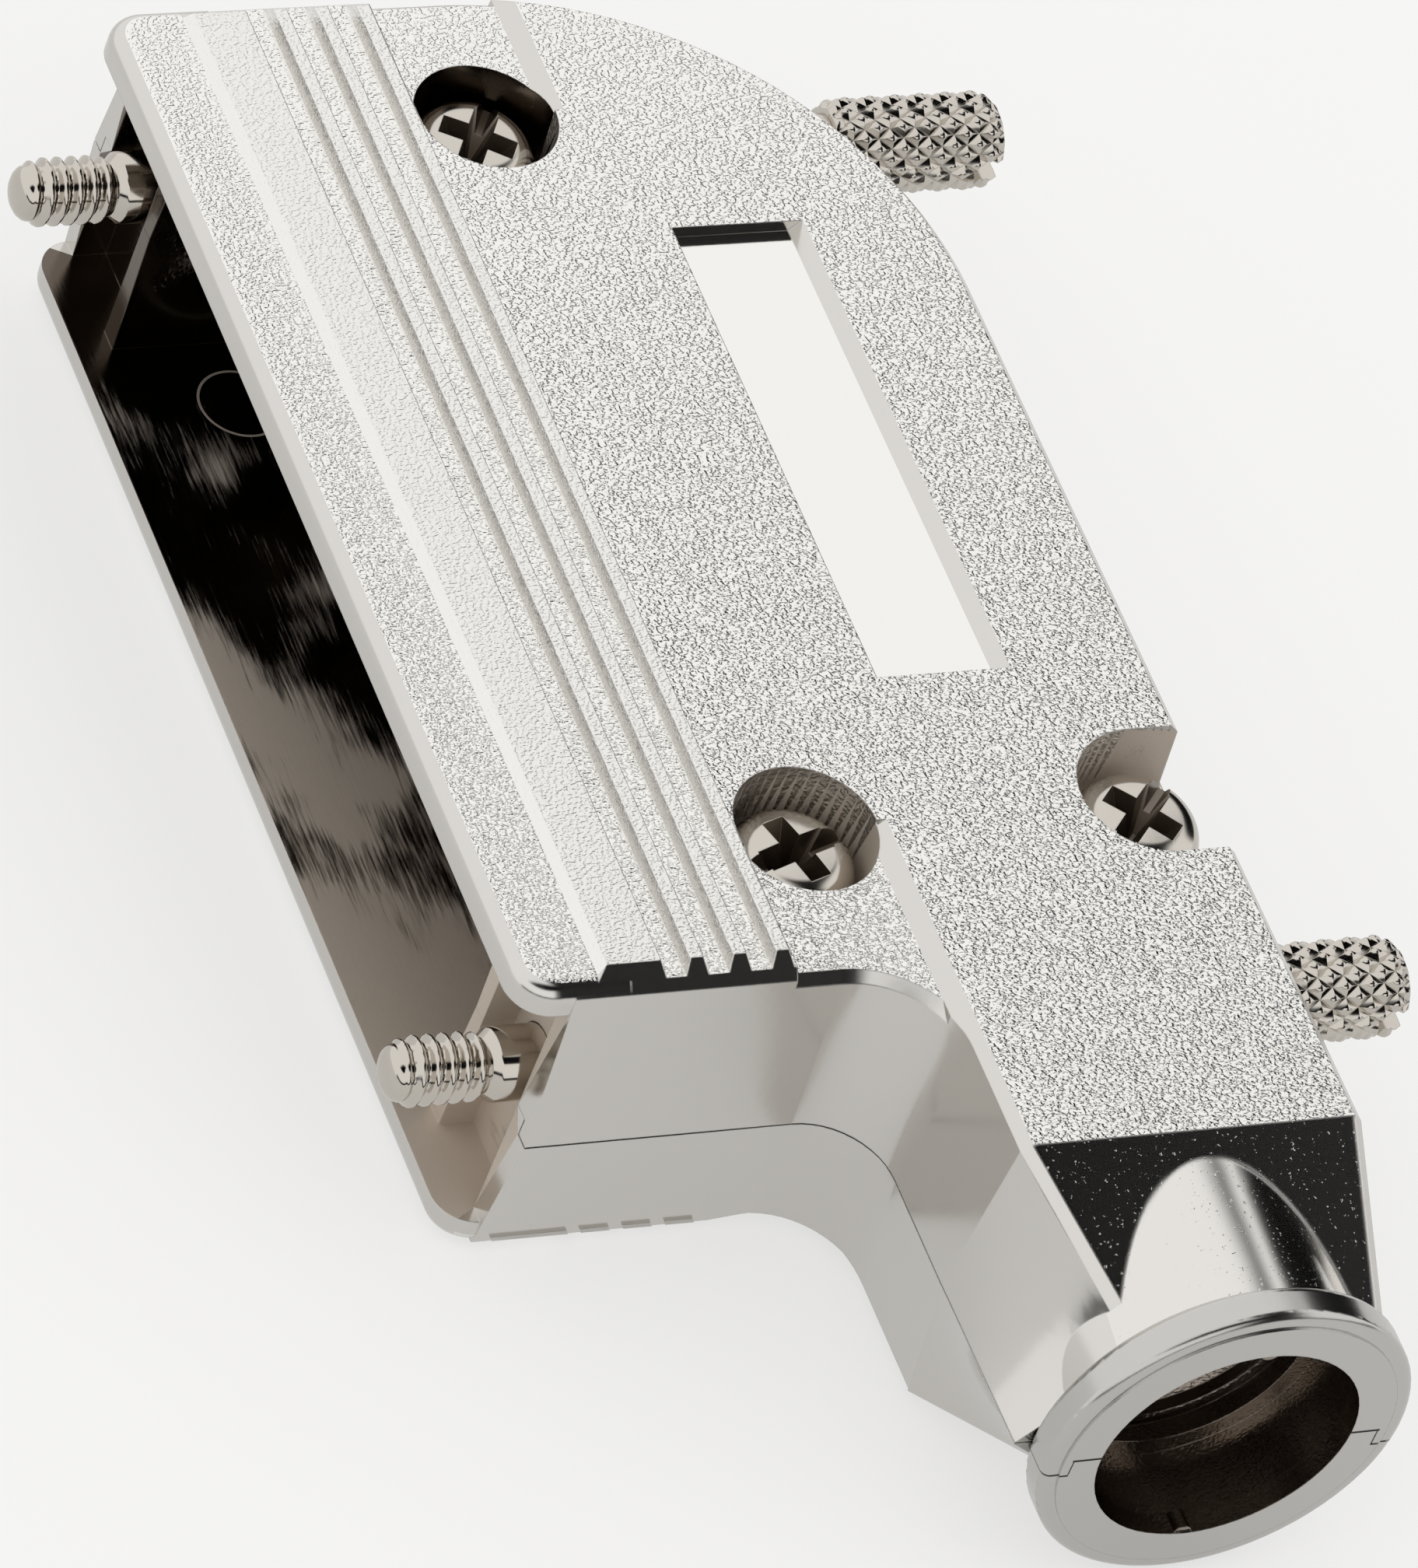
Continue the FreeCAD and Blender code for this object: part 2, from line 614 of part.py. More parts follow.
def channels(name):
    """Shallow recesses from the front screws out to the sides, with the plate's bevel carried on
    along their outer edges. The near one runs on as a bevel along the neck."""
    made = []
    floor = "half_thick - channel_depth"
    sketch = flat_sketch(f"{name}_channel_plan", plan("0", "0", "neck_end"), f"{floor} - edge_break")
    for word, x, sign in (("far", "-screw_far_x", -1), ("near", "screw_near_x", 1)):
        out = "half_width + 2" if sign < 0 else "neck_end"
        wall = "(screw_y + well_radius - channel_slope / 2)"
        cut_height = "1"
        made.append(
            sloped_block(
                f"{name}_{word}_channel",
                spread(sign, x, out),
                ("screw_y - well_radius", wall),
                floor,
                cut_height,
                True,
                back=f"(channel_slope * {cut_height} / channel_depth)",
            )
        )
        along = spread(sign, f"{x} + well_radius", "half_width + neck_fillet")
        edge = box(
            f"{name}_{word}_channel_edge",
            along,
            ("screw_y - well_radius", wall),
            (f"{floor} - edge_break", f"{floor} + 0.01"),
        )
        kept = extrude(f"{name}_{word}_channel_kept", sketch, "edge_break + 0.02", "-45")
        made.append(cut(f"{name}_{word}_channel_bevel", edge, kept))
    return made


def low_channels(name):
    """The same recesses on the lower face, where they are shallow dips at the sides."""
    made = []
    for word, x, sign in (("far", "-screw_far_x", -1), ("near", "screw_near_x", 1)):
        out = "half_width + 2" if sign < 0 else "neck_end"
        slope = "(low_channel_slope / channel_depth)"
        back = "(channel_slope / channel_depth)"
        inner = {"left" if sign > 0 else "right": slope}
        made.append(
            sloped_block(
                f"{name}_{word}_channel",
                spread(sign, f"{x} + well_radius", out),
                ("low_channel_start", "screw_y + well_radius - channel_slope / 2"),
                "channel_depth - half_thick",
                "1",
                False,
                front=slope,
                back=back,
                **inner,
            )
        )
    return made


def label_recess(name):
    """Recess for a label, with one sloped long side."""
    height = "(label_depth + 1)"
    return sloped_block(
        name,
        ("label_x - label_length / 2", "label_x + label_length / 2"),
        ("label_y - label_width / 2", "label_y + label_width / 2 - label_slope"),
        "half_thick - label_depth",
        height,
        True,
        back=f"(label_slope * {height} / label_depth)",
    )


def outlet_tongue(name, gap):
    """The lap joint's straight run past both sides of the bore, out to the ring's face."""
    half = f"(outlet_lap + {gap})"
    run = ("neck_end", f"ring_face + ({gap}) * 10")
    return box(name, run, (f"outlet_y - {half}", f"outlet_y + {half}"), ("-seam_drop - 1", "0"))


def nub(name, side):
    """Small nub at the middle of the bore's lip."""
    start, height = "ring_face - bore_lip", f"{side} * (bore_radius + nub_radius / 4)"
    return cylinder(name, "nub_radius", "bore_lip - face_step", start, "outlet_y", height, "x")


def upper_shell():
    """The shell with the label recess and the wells of the cover screws."""
    skirt_plan = plan(f"(lap_width - {FLARE})", "-lip_reach - 1", "neck_end + lap_reach + lap_gap")
    skirt_sketch = flat_sketch("upper_skirt_plan", skirt_plan, "-seam_drop - 1")
    skirt = extrude("upper_skirt_room", skirt_sketch, "seam_drop + 1")
    room = [cavity("upper_cavity", 1), skirt, outlet_tongue("upper_outlet_room", "lap_gap")]
    blank = fuse("upper_blank", outer_form("upper", 1) + [outlet_form("upper_outlet", 1)])
    hollow = cut("upper_hollow", blank, *room)
    full = fuse("upper_full", [hollow, *jack_guides("upper", 1), *upper_bosses("upper")])
    tools = [outlet_bore("upper_bore"), *jack_holes("upper_jack")]
    tools += [*upper_pockets("upper"), label_recess("label")]
    body = cut("upper_body", full, *tools)
    return named(fuse("upper_shell", [body, nub("upper_nub", 1)]), "Upper shell")


def lower_shell():
    """The shell with the tongue of the lap joint and the tapped posts."""
    tongue_plan = plan(f"(lap_width - {FLARE} + lap_gap)", "0", "neck_end + lap_reach")
    tongue_sketch = flat_sketch("lower_tongue_plan", tongue_plan, "-seam_drop - 1")
    tongue = extrude("lower_tongue", tongue_sketch, "seam_drop + 1")
    outer = outer_form("lower", -1) + [outlet_form("lower_outlet", -1)]
    outer += [tongue, outlet_tongue("lower_outlet_tongue", "0")]
    hollow = cut("lower_hollow", fuse("lower_blank", outer), cavity("lower_cavity", -1))
    posts, holes = [], []
    deep = "(screw_length - well_seat + 0.4)"
    for word, x, y in screw_places():
        foot = "-(floor_half + 0.2)"
        posts.append(cylinder(f"lower_{word}_post", "boss_radius", "floor_half + 0.2", x, y, foot))
        tapped = "screw_radius + screw_fit"
        holes.append(cylinder(f"lower_{word}_hole", tapped, f"{deep} + 1", x, y, f"-{deep}"))
    full = fuse("lower_full", [hollow, *jack_guides("lower", -1), *posts])
    tools = [outlet_bore("lower_bore"), *jack_holes("lower_jack"), *holes, *low_channels("lower")]
    body = cut("lower_body", full, *tools)
    return named(fuse("lower_shell", [body, nub("lower_nub", -1)]), "Lower shell")


def named(obj, label):
    obj.Label = label
    return obj


# Turned pieces, each a body made by one revolution.


def turned_body(name, label, corners, x, y, z, upright=True):
    """A body of revolution: corners are (radius, distance along the axis)."""
    body = doc.addObject("PartDesign::Body", name)
    body.Label = label
    sketch = body.newObject("Sketcher::SketchObject", name + "_profile")
    role = "XZ_Plane" if upright else "XY_Plane"
    plane = next(f for f in body.Origin.OriginFeatures if f.Role == role)
    sketch.AttachmentSupport = [(plane, "")]
    sketch.MapMode = "FlatFace"
    outline(sketch, corners)
    spin = body.newObject("PartDesign::Revolution", name + "_spin")
    spin.Profile = sketch
    spin.ReferenceAxis = (sketch, ["V_Axis"])
    spin.Angle = 360
    spin.Refine = False  # its faces stay in the order of the profile, from the tip on
    body.Tip = spin
    place(body, x, y, z)
    return body


def assembly_screw(word, x, y):
    """M3 pan head screw, its thread drawn plain, with a cross recess."""
    head = "screw_head_height"
    corners = [
        ("0", "-screw_length"),
        ("screw_radius - 0.4", "-screw_length"),
        ("screw_radius", "-screw_length + 0.4"),
        ("screw_radius", "0"),
        ("screw_head_radius", "0"),
        ("screw_head_radius", f"{head} * 0.55", f"{head} * 0.8"),
        ("screw_head_radius * 0.65", head),
        ("0", head),
    ]
    label = f"Turned screw, {word}"
    turned = turned_body(f"{word}_screw_turned", label, corners, x, y, "well_seat")
    top = ("well_seat + screw_head_height - recess_depth", "well_seat + screw_head_height + 1")
    long_side, short_side = "recess_reach", "recess_width / 2"
    slots = []
    for way, (a, b) in (("along", (long_side, short_side)), ("across", (short_side, long_side))):
        wide = (f"{x} - {a}", f"{x} + {a}")
        deep = (f"{y} - {b}", f"{y} + {b}")
        slots.append(box(f"{word}_screw_{way}", wide, deep, top))
    return named(cut(f"{word}_screw", turned, *slots), f"Assembly screw, {word}")


def thread_corners():
    """The 4-40 thread as ring grooves, from the domed tip back to the run-out."""
    corners = [
        ("0", "-tip_reach"),
        ("thread_root - 0.55", "-tip_reach"),
        ("thread_root - 0.1", "-tip_reach + 0.25"),
    ]
    for turn in range(6):
        at = f"-tip_reach + 0.45 + {turn} * thread_pitch"
        corners += [
            ("thread_radius", at),
            ("thread_radius", f"{at} + 0.3 * thread_pitch"),
            ("thread_root", f"{at} + 0.6 * thread_pitch"),
            ("thread_root", f"{at} + 0.7 * thread_pitch"),
        ]
    return corners


def jackscrew(word, x):
    """Captive jackscrew in one turned piece: thread, shank with a ring groove, slotted head."""
    groove = "saddle_start + saddle_wall"
    head_end = "head_start + head_length"
    corners = thread_corners() + [
        ("thread_root", "thread_length - tip_reach"),
        ("jack_radius", "thread_length - tip_reach + collar_lead"),
        ("jack_radius", groove),
        ("ring_groove", groove),
        ("ring_groove", f"{groove} + ring_wire + 2 * ring_play"),
        ("jack_radius", f"{groove} + ring_wire + 2 * ring_play"),
        ("jack_radius", "head_start"),
        ("head_radius - head_bevel", "head_start"),
        ("head_radius", "head_start + head_bevel"),
        ("head_radius", f"{head_end} - head_bevel"),
        ("head_radius - head_bevel", head_end),
        ("0", head_end),
    ]
    label = f"Turned jackscrew, {word}"
    turned = turned_body(f"{word}_jackscrew_turned", label, corners, x, "0", "0", upright=False)
    slot = box(
        f"{word}_jackscrew_slot",
        (f"{x} - head_radius - 1", f"{x} + head_radius + 1"),
        (f"{head_end} - slot_depth", f"{head_end} + 1"),
        ("-slot_width / 2", "slot_width / 2"),
    )
    slotted = cut(f"{word}_jackscrew", turned, slot)
    slotted.Refine = False
    return named(slotted, f"Jackscrew, {word}")


def retaining_ring(word, x):
    """Open ring sprung into the shank's groove, between the saddle and the rear stop."""
    front = "saddle_start + saddle_wall + ring_play"
    inner = "ring_groove + ring_play"
    corners = [
        (inner, "0"),
        ("ring_outside", "0"),
        ("ring_outside", "ring_wire"),
        (inner, "ring_wire"),
    ]
    label = f"Turned ring, {word}"
    turned = turned_body(f"{word}_ring_turned", label, corners, x, front, "0", upright=False)
    gap = box(
        f"{word}_ring_gap",
        (f"{x} - ring_opening / 2", f"{x} + ring_opening / 2"),
        (f"{front} - 1", f"{front} + ring_wire + 1"),
        ("0", "ring_outside + 1"),
    )
    return named(cut(f"{word}_ring", turned, gap), f"Retaining ring, {word}")


def build():
    fill_sheet()
    parts = {"upper_shell": upper_shell(), "lower_shell": lower_shell()}
    for word, x, y in screw_places():
        parts[f"{word}_screw"] = assembly_screw(word, x, y)
    for word, x in (("far", f"-{JACK_X}"), ("near", JACK_X)):
        parts[f"{word}_jackscrew"] = jackscrew(word, x)
        parts[f"{word}_ring"] = retaining_ring(word, x)
    doc.recompute()
    return parts


def check(parts):
    bad = [obj.Name for obj in doc.Objects if {"Invalid", "Error"} & set(obj.State)]
    if bad:
        raise SystemExit(f"These objects didn't build: {', '.join(bad)}")
    for name, obj in parts.items():
        shape = obj.Shape
        if shape.isNull() or not shape.isValid() or len(shape.Solids) != 1:
            raise SystemExit(f"{name} isn't one valid solid: {len(shape.Solids)} solids")
        print(name, "volume", round(shape.Volume, 1), "mm3, box", shape.BoundBox)


def write(parts):
    os.makedirs("parts", exist_ok=True)
    for name, obj in parts.items():
        obj.Shape.exportStep(f"parts/{name}.step")


pieces = build()
check(pieces)
write(pieces)
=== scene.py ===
"""Looks of the metal hood for a 25-way d-sub connector.

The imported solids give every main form. This script dresses them in their metals, cuts the real
threads, knurls and driver recesses as pieces of their own, and sets the studio and the camera.
All lengths are metres in the row frame: X along the mouth towards the cable outlet, Y from the
mouth to the back, Z up through the shell that carries the cover screws.
"""

from __future__ import annotations

import json
import logging
import math
from dataclasses import dataclass, field
from enum import Enum

import bmesh
import bpy
import numpy as np
from mathutils import Euler, Matrix, Vector

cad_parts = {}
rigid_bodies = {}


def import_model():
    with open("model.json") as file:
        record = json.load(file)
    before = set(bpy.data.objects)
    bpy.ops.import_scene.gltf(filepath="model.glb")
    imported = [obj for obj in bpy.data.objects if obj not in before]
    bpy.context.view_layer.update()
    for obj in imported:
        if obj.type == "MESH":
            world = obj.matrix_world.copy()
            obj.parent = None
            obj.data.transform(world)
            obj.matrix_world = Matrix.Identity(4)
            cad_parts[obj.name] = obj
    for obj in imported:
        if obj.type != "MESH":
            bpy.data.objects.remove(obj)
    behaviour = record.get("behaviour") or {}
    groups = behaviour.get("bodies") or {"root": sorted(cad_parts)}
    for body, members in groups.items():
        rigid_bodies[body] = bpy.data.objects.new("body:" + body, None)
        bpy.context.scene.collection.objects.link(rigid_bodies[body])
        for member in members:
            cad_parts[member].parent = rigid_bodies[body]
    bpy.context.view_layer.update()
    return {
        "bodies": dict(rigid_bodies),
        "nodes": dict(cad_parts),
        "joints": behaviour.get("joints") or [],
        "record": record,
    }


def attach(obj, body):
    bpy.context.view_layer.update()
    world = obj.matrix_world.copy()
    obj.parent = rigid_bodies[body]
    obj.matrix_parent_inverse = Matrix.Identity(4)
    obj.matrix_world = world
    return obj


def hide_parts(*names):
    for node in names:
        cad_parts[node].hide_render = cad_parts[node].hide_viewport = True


log = logging.getLogger("hood")

Socket = bpy.types.NodeSocket
Tree = bpy.types.NodeTree

MM = 0.001
SEAT_Y = 3.0 * MM  # the plane where the connector's flange seats
JACK_X = 23.52 * MM  # half of the 25-way size's 47.04 mm
STEP = 0.01 * MM  # a shoulder in a turned profile leans by this much
SMOOTH_ANGLE = math.radians(40)  # turned pieces shade sharp past this

# The cover screws: side, place, and the turn that the driver left them at, in degrees
SCREWS = (
    ("far", -19.6 * MM, 15.6 * MM, -33.0),
    ("near", 19.0 * MM, 15.6 * MM, -72.0),
    ("back", 18.6 * MM, 31.1 * MM, -46.0),
)


def colour(hex_code: str) -> tuple[float, float, float, float]:
    """Turns an sRGB hex colour into linear RGBA.

    Args:
        hex_code: Six hex digits after a hash.

    Returns:
        Linear red, green and blue, and an alpha of 1.
    """
    digits = hex_code.lstrip("#")
    parts = [int(digits[i : i + 2], 16) / 255 for i in (0, 2, 4)]
    linear = [c / 12.92 if c <= 0.04045 else ((c + 0.055) / 1.055) ** 2.4 for c in parts]
    return (*linear, 1.0)


def add_node(
    tree: Tree, kind: str, inputs: dict[int | str, object] | None = None, **settings: object
) -> bpy.types.Node:
    """Adds a node, sets its properties and fills its inputs.

    Args:
        tree: The tree that gets the node.
        kind: The node's type name.
        inputs: Values or output sockets, by input name or index.
        settings: Properties of the node.

    Returns:
        The new node.
    """
    node = tree.nodes.new(kind)
    for name, value in settings.items():
        setattr(node, name, value)
    for key, value in (inputs or {}).items():
        if isinstance(value, Socket):
            tree.links.new(value, node.inputs[key])
        else:
            node.inputs[key].default_value = value
    return node


# Finishes


@dataclass(frozen=True)
class Nickel:
    """Nickel plate: a bright, slightly warm metal whose reflections carry the look.

    The plate rounds every edge a little, which gives the edges their bright and dark lines.
    """

    name: str
    tint: str
    roughness: float
    edge: float = 0.08 * MM
    metal: float = 1.0  # less where the bare zinc's grey film shows
    edge_samples: int = 4

    def build(self) -> bpy.types.Material:
        """Makes the material.

        Returns:
            The material, with its relief.
        """
        material = bpy.data.materials.new(self.name)
        material.use_nodes = True
        tree = material.node_tree
        tree.nodes.clear()
        place = add_node(tree, "ShaderNodeTexCoord").outputs["Object"]
        metal = add_node(
            tree,
            "ShaderNodeBsdfPrincipled",
            {
                "Base Color": colour(self.tint),
                "Metallic": self.metal,
                "Roughness": self.roughness,
            },
        )
        if self.edge:
            rounded = add_node(
                tree, "ShaderNodeBevel", {"Radius": self.edge}, samples=self.edge_samples
            )
            normal = self.relief(tree, place, rounded.outputs[0])
            tree.links.new(normal, metal.inputs["Normal"])
        self.stain(tree, place, metal)
        add_node(tree, "ShaderNodeOutputMaterial", {"Surface": metal.outputs[0]})
        return material

    def relief(self, tree: Tree, place: Socket, normal: Socket) -> Socket:
        """Adds the surface's fine relief. A plain finish has none.

        Args:
            tree: The material's nodes.
            place: Object coordinates.
            normal: The normal with rounded edges.

        Returns:
            The normal that the shader takes.
        """
        return normal

    def stain(self, tree: Tree, place: Socket, metal: bpy.types.Node) -> None:
        """Varies the metal's colour and gloss. A plain finish is the same all over.

        Args:
            tree: The material's nodes.
            place: Object coordinates.
            metal: The shader.
        """


@dataclass(frozen=True)
class ErodedNickel(Nickel):
    """Cast on a spark-eroded die: a fine grain whose far slopes show as short dark strokes."""

    grain: float = 0.14 * MM
    squeeze: float = 0.7  # the pattern's scale along Y; below 1 the grain is longer there
    depth: float = 0.016 * MM
    outlet_depth: float = 0.0  # the depth at the outlet's end; 0 keeps it the same all over
    ends: tuple[float, float] = (-26.4 * MM, 36.0 * MM)  # where depth and outlet_depth hold
    low: float = 0.34  # noise below this is flat
    high: float = 0.66  # and above this it is a full grain

    def relief(self, tree: Tree, place: Socket, normal: Socket) -> Socket:
        """Adds the eroded grain, a little longer along Y."""
        drawn = add_node(
            tree, "ShaderNodeMapping", {"Vector": place, "Scale": (1.0, self.squeeze, 1.0)}
        ).outputs[0]
        grains = add_node(
            tree,
            "ShaderNodeTexNoise",
            {"Vector": drawn, "Scale": 1 / self.grain, "Detail": 1.0, "Roughness": 0.5},
        ).outputs["Fac"]
        pits = add_node(
            tree,
            "ShaderNodeMapRange",
            {"Value": grains, "From Min": self.low, "From Max": self.high},
            interpolation_type="SMOOTHSTEP",
        ).outputs[0]
        depth = self.depth
        if self.outlet_depth:
            along = add_node(tree, "ShaderNodeSeparateXYZ", {0: place}).outputs["X"]
            depth = add_node(
                tree,
                "ShaderNodeMapRange",
                {
                    "Value": along,
                    "From Min": self.ends[0],
                    "From Max": self.ends[1],
                    "To Min": self.depth,
                    "To Max": self.outlet_depth,
                },
            ).outputs[0]
        return add_node(
            tree, "ShaderNodeBump", {"Height": pits, "Distance": depth, "Normal": normal}
        ).outputs[0]


@dataclass(frozen=True)
class TumbledNickel(Nickel):
    """Smooth plated faces: nearly a mirror, with a faint orange peel, and the hairline where the
    two shells meet across the ring's face, painted dark as the shade in that gap."""

    peel: float = 0.45 * MM
    depth: float = 0.0015 * MM
    gap: float = 0.0  # the hairline's width; 0 leaves it out
    # the hairline's colour: painted shade, for the gap between the shells
    gap_shade_tint: str = "#1C1916"
    gap_shade_place: tuple[float, float, float] = (45.0 * MM, 26.3 * MM, 6.75 * MM)  # X, Y, reach

    def relief(self, tree: Tree, place: Socket, normal: Socket) -> Socket:
        """Adds the faint peel."""
        peel = add_node(
            tree, "ShaderNodeTexNoise", {"Vector": place, "Scale": 1 / self.peel, "Detail": 2.0}
        ).outputs["Fac"]
        return add_node(
            tree, "ShaderNodeBump", {"Height": peel, "Distance": self.depth, "Normal": normal}
        ).outputs[0]

    def stain(self, tree: Tree, place: Socket, metal: bpy.types.Node) -> None:
        """Paints shade into the hairline where the shells meet, from the bore to the lap's step.
        """
        if not self.gap:
            return
        face_x, middle_y, reach = self.gap_shade_place
        made = dict(add_node(tree, "ShaderNodeSeparateXYZ", {0: place}).outputs.items())
        steps = [
            ("height", "ABSOLUTE", "Z", 0.0),
            ("thin", "LESS_THAN", "height", self.gap / 2),
            ("forward", "GREATER_THAN", "X", face_x),
            ("off", "SUBTRACT", "Y", middle_y),
            ("away", "ABSOLUTE", "off", 0.0),
            ("near", "LESS_THAN", "away", reach),
            ("face", "MULTIPLY", "forward", "near"),
            ("line", "MULTIPLY", "thin", "face"),
        ]
        for name, operation, first, second in steps:
            inputs = {0: made[first], 1: made.get(second, second)}
            made[name] = add_node(tree, "ShaderNodeMath", inputs, operation=operation).outputs[0]
        mixed = add_node(
            tree,
            "ShaderNodeMix",
            {"Factor": made["line"], 6: colour(self.tint), 7: colour(self.gap_shade_tint)},
            data_type="RGBA",
        )
        tree.links.new(mixed.outputs[2], metal.inputs["Base Color"])


@dataclass(frozen=True)
class DrawnNickel(Nickel):
    """The inside, from a core polished by hand along the mouth: fine long scratches, duller
    patches that catch the light of the mouth, lighter in tint as a painted highlight and thinning
    to painted shade at the far end, and the rings that the ejector pins left."""

    # partly a painted highlight: lighter than the polished tint
    dull_highlight_tint: str = "#CFC4B7"
    dull_roughness: float = 0.62
    dull_metal: float = 0.6  # the rest is the bare zinc's grey film
    spacing: float = 0.12 * MM
    stretch: tuple[float, float, float] = (0.06, 1.0, 0.5)  # the scratches' scale on each axis
    depth: float = 0.006 * MM
    patch: float = 6.0 * MM
    painted_lean: float = 10.0  # painted light: duller and lighter for each metre towards the outlet
    streaks: float = 0.4  # how much the scratches break a patch's edge
    low: float = 0.6  # below this sum of patch, lean and streaks the metal is polished
    high: float = 0.82  # and above this it is dull
    pin_place: tuple[float, float, float] = (16.9 * MM, 7.6 * MM, 1.8 * MM)  # X, Y, radius
    pin_width: float = 0.06 * MM
    pin_height: float = 0.05 * MM

    def scratches(self, tree: Tree, place: Socket) -> Socket:
        """Long scratches along X.

        Args:
            tree: The material's nodes.
            place: Object coordinates.

        Returns:
            Their height, between 0 and 1.
        """
        drawn = add_node(
            tree, "ShaderNodeMapping", {"Vector": place, "Scale": self.stretch}
        ).outputs[0]
        return add_node(
            tree,
            "ShaderNodeTexNoise",
            {"Vector": drawn, "Scale": 1 / self.spacing, "Detail": 3.0, "Roughness": 0.65},
        ).outputs["Fac"]

    def pin_rings(self, tree: Tree, place: Socket) -> Socket:
        """The hairlines round the ejector pins.

        Args:
            tree: The material's nodes.
            place: Object coordinates.

        Returns:
            1 on a hairline, 0 elsewhere.
        """
        pin_x, pin_y, pin_radius = self.pin_place
        parts = add_node(tree, "ShaderNodeSeparateXYZ", {0: place}).outputs
        across = add_node(tree, "ShaderNodeMath", {0: parts["X"]}, operation="ABSOLUTE").outputs[0]
        flat = add_node(tree, "ShaderNodeCombineXYZ", {"X": across, "Y": parts["Y"]}).outputs[0]
        away = add_node(
            tree, "ShaderNodeVectorMath", {0: flat, 1: (pin_x, pin_y, 0.0)}, operation="DISTANCE"
        ).outputs["Value"]
        return add_node(
            tree,
            "ShaderNodeMath",
            {0: away, 1: pin_radius, 2: self.pin_width},
            operation="COMPARE",
        ).outputs[0]

    def relief(self, tree: Tree, place: Socket, normal: Socket) -> Socket:
        """Adds the scratches and the ejector rings."""
        ring = self.pin_rings(tree, place)
        scratched = add_node(
            tree,
            "ShaderNodeBump",
            {"Height": self.scratches(tree, place), "Distance": self.depth, "Normal": normal},
        ).outputs[0]
        return add_node(
            tree,
            "ShaderNodeBump",
            {"Height": ring, "Distance": self.pin_height, "Normal": scratched},
        ).outputs[0]

    def stain(self, tree: Tree, place: Socket, metal: bpy.types.Node) -> None:
        """Dulls the metal in patches, each broken into streaks by the scratches. The patches'
        lighter tint is partly a painted highlight, and their lean towards the outlet paints the
        far end's shade.
        """
        clouds = add_node(
            tree, "ShaderNodeTexNoise", {"Vector": place, "Scale": 1 / self.patch, "Detail": 2.0}
        ).outputs["Fac"]
        along = add_node(tree, "ShaderNodeSeparateXYZ", {0: place}).outputs["X"]
        # painted light: more patches towards the outlet, leaving the far end in painted shade
        clouds_and_painted_lean = add_node(
            tree, "ShaderNodeMath", {0: along, 1: self.painted_lean, 2: clouds}, operation="MULTIPLY_ADD"
        ).outputs[0]
        streaks = self.scratches(tree, place)
        both = add_node(
            tree,
            "ShaderNodeMath",
            {0: streaks, 1: self.streaks, 2: clouds_and_painted_lean},
            operation="MULTIPLY_ADD",
        ).outputs[0]
        share = add_node(
            tree,
            "ShaderNodeMapRange",
            {"Value": both, "From Min": self.low, "From Max": self.high},
            interpolation_type="SMOOTHSTEP",
        ).outputs[0]
        share = add_node(
            tree, "ShaderNodeMath", {0: share, 1: self.pin_rings(tree, place)}, operation="MAXIMUM"
        ).outputs[0]
        # the patches' lighter tint paints highlights over the dark polished tint
        mixed = add_node(
            tree,
            "ShaderNodeMix",
            {"Factor": share, 6: colour(self.tint), 7: colour(self.dull_highlight_tint)},
            data_type="RGBA",
        )
        tree.links.new(mixed.outputs[2], metal.inputs["Base Color"])
        for name, polished, dull in (
            ("Roughness", self.roughness, self.dull_roughness),
            ("Metallic", self.metal, self.dull_metal),
        ):
            level = add_node(
                tree, "ShaderNodeMapRange", {"Value": share, "To Min": polished, "To Max": dull}
            ).outputs[0]
            tree.links.new(level, metal.inputs[name])


# Broad faces: fine eroded grain, deeper towards the outlet; the plate keeps it bright.
GRAINED = ErodedNickel(
    "die-cast zinc, spark-eroded grain, nickel plated",
    "#F3F1ED",
    0.12,
    depth=0.011 * MM,
    outlet_depth=0.045 * MM,
    low=0.42,
    high=0.64,
)
# Sloped end and the collar's top: polished die with a few stray pits that sparkle.
PITTED = ErodedNickel(
    "die-cast zinc, polished with stray pits, nickel plated",
    "#E4E1DC",
    0.13,
    edge=0.3 * MM,
    grain=0.13 * MM,
    depth=0.008 * MM,
    low=0.66,
    high=0.82,
)
# Walls of the wells: coarse grain that the polish never reached.
ROUGH = ErodedNickel(
    "die-cast zinc, rough grain, nickel plated",
    "#C6C1BA",
    0.4,
    edge=0.12 * MM,
    grain=0.2 * MM,
    depth=0.03 * MM,
)
# Tops of the ridges and the steps beside them: a trace of the grain breaks their long
# reflections.
STEPPED = ErodedNickel(
    "die-cast zinc, faint grain, nickel plated", "#F0EEEA", 0.2, depth=0.008 * MM
)
# Lowest slopes and ledges of the underside: matt where the flash was trimmed, so they hardly show
# dark against the wall. Their edges are sharp, so nothing rounds them.
SHARP = Nickel("die-cast zinc, trimmed edge", "#EFEDE9", 0.8, edge=0.0, metal=0.4)
# Drafted sides: tumbled smooth, so that they mirror the floor softly.
SMOOTH = TumbledNickel("die-cast zinc, tumbled smooth, nickel plated", "#D9D6D1", 0.16)
# Ring: the same, with the hairline between the shells painted dark as shade.
RING = TumbledNickel("die-cast zinc, smooth ring, nickel plated", "#C8C6C2", 0.18, gap=0.12 * MM)
# Label recess: the smoothest face, for a stuck label.
POLISHED = TumbledNickel("die-cast zinc, polished, nickel plated", "#F3F1ED", 0.1)
# Inside: duller and browner, because the plating is thin there; the dark polished tint is also
# painted shade of the hollow.
INSIDE = DrawnNickel("die-cast zinc, hand-polished core, thin nickel plate", "#6E655C", 0.16)
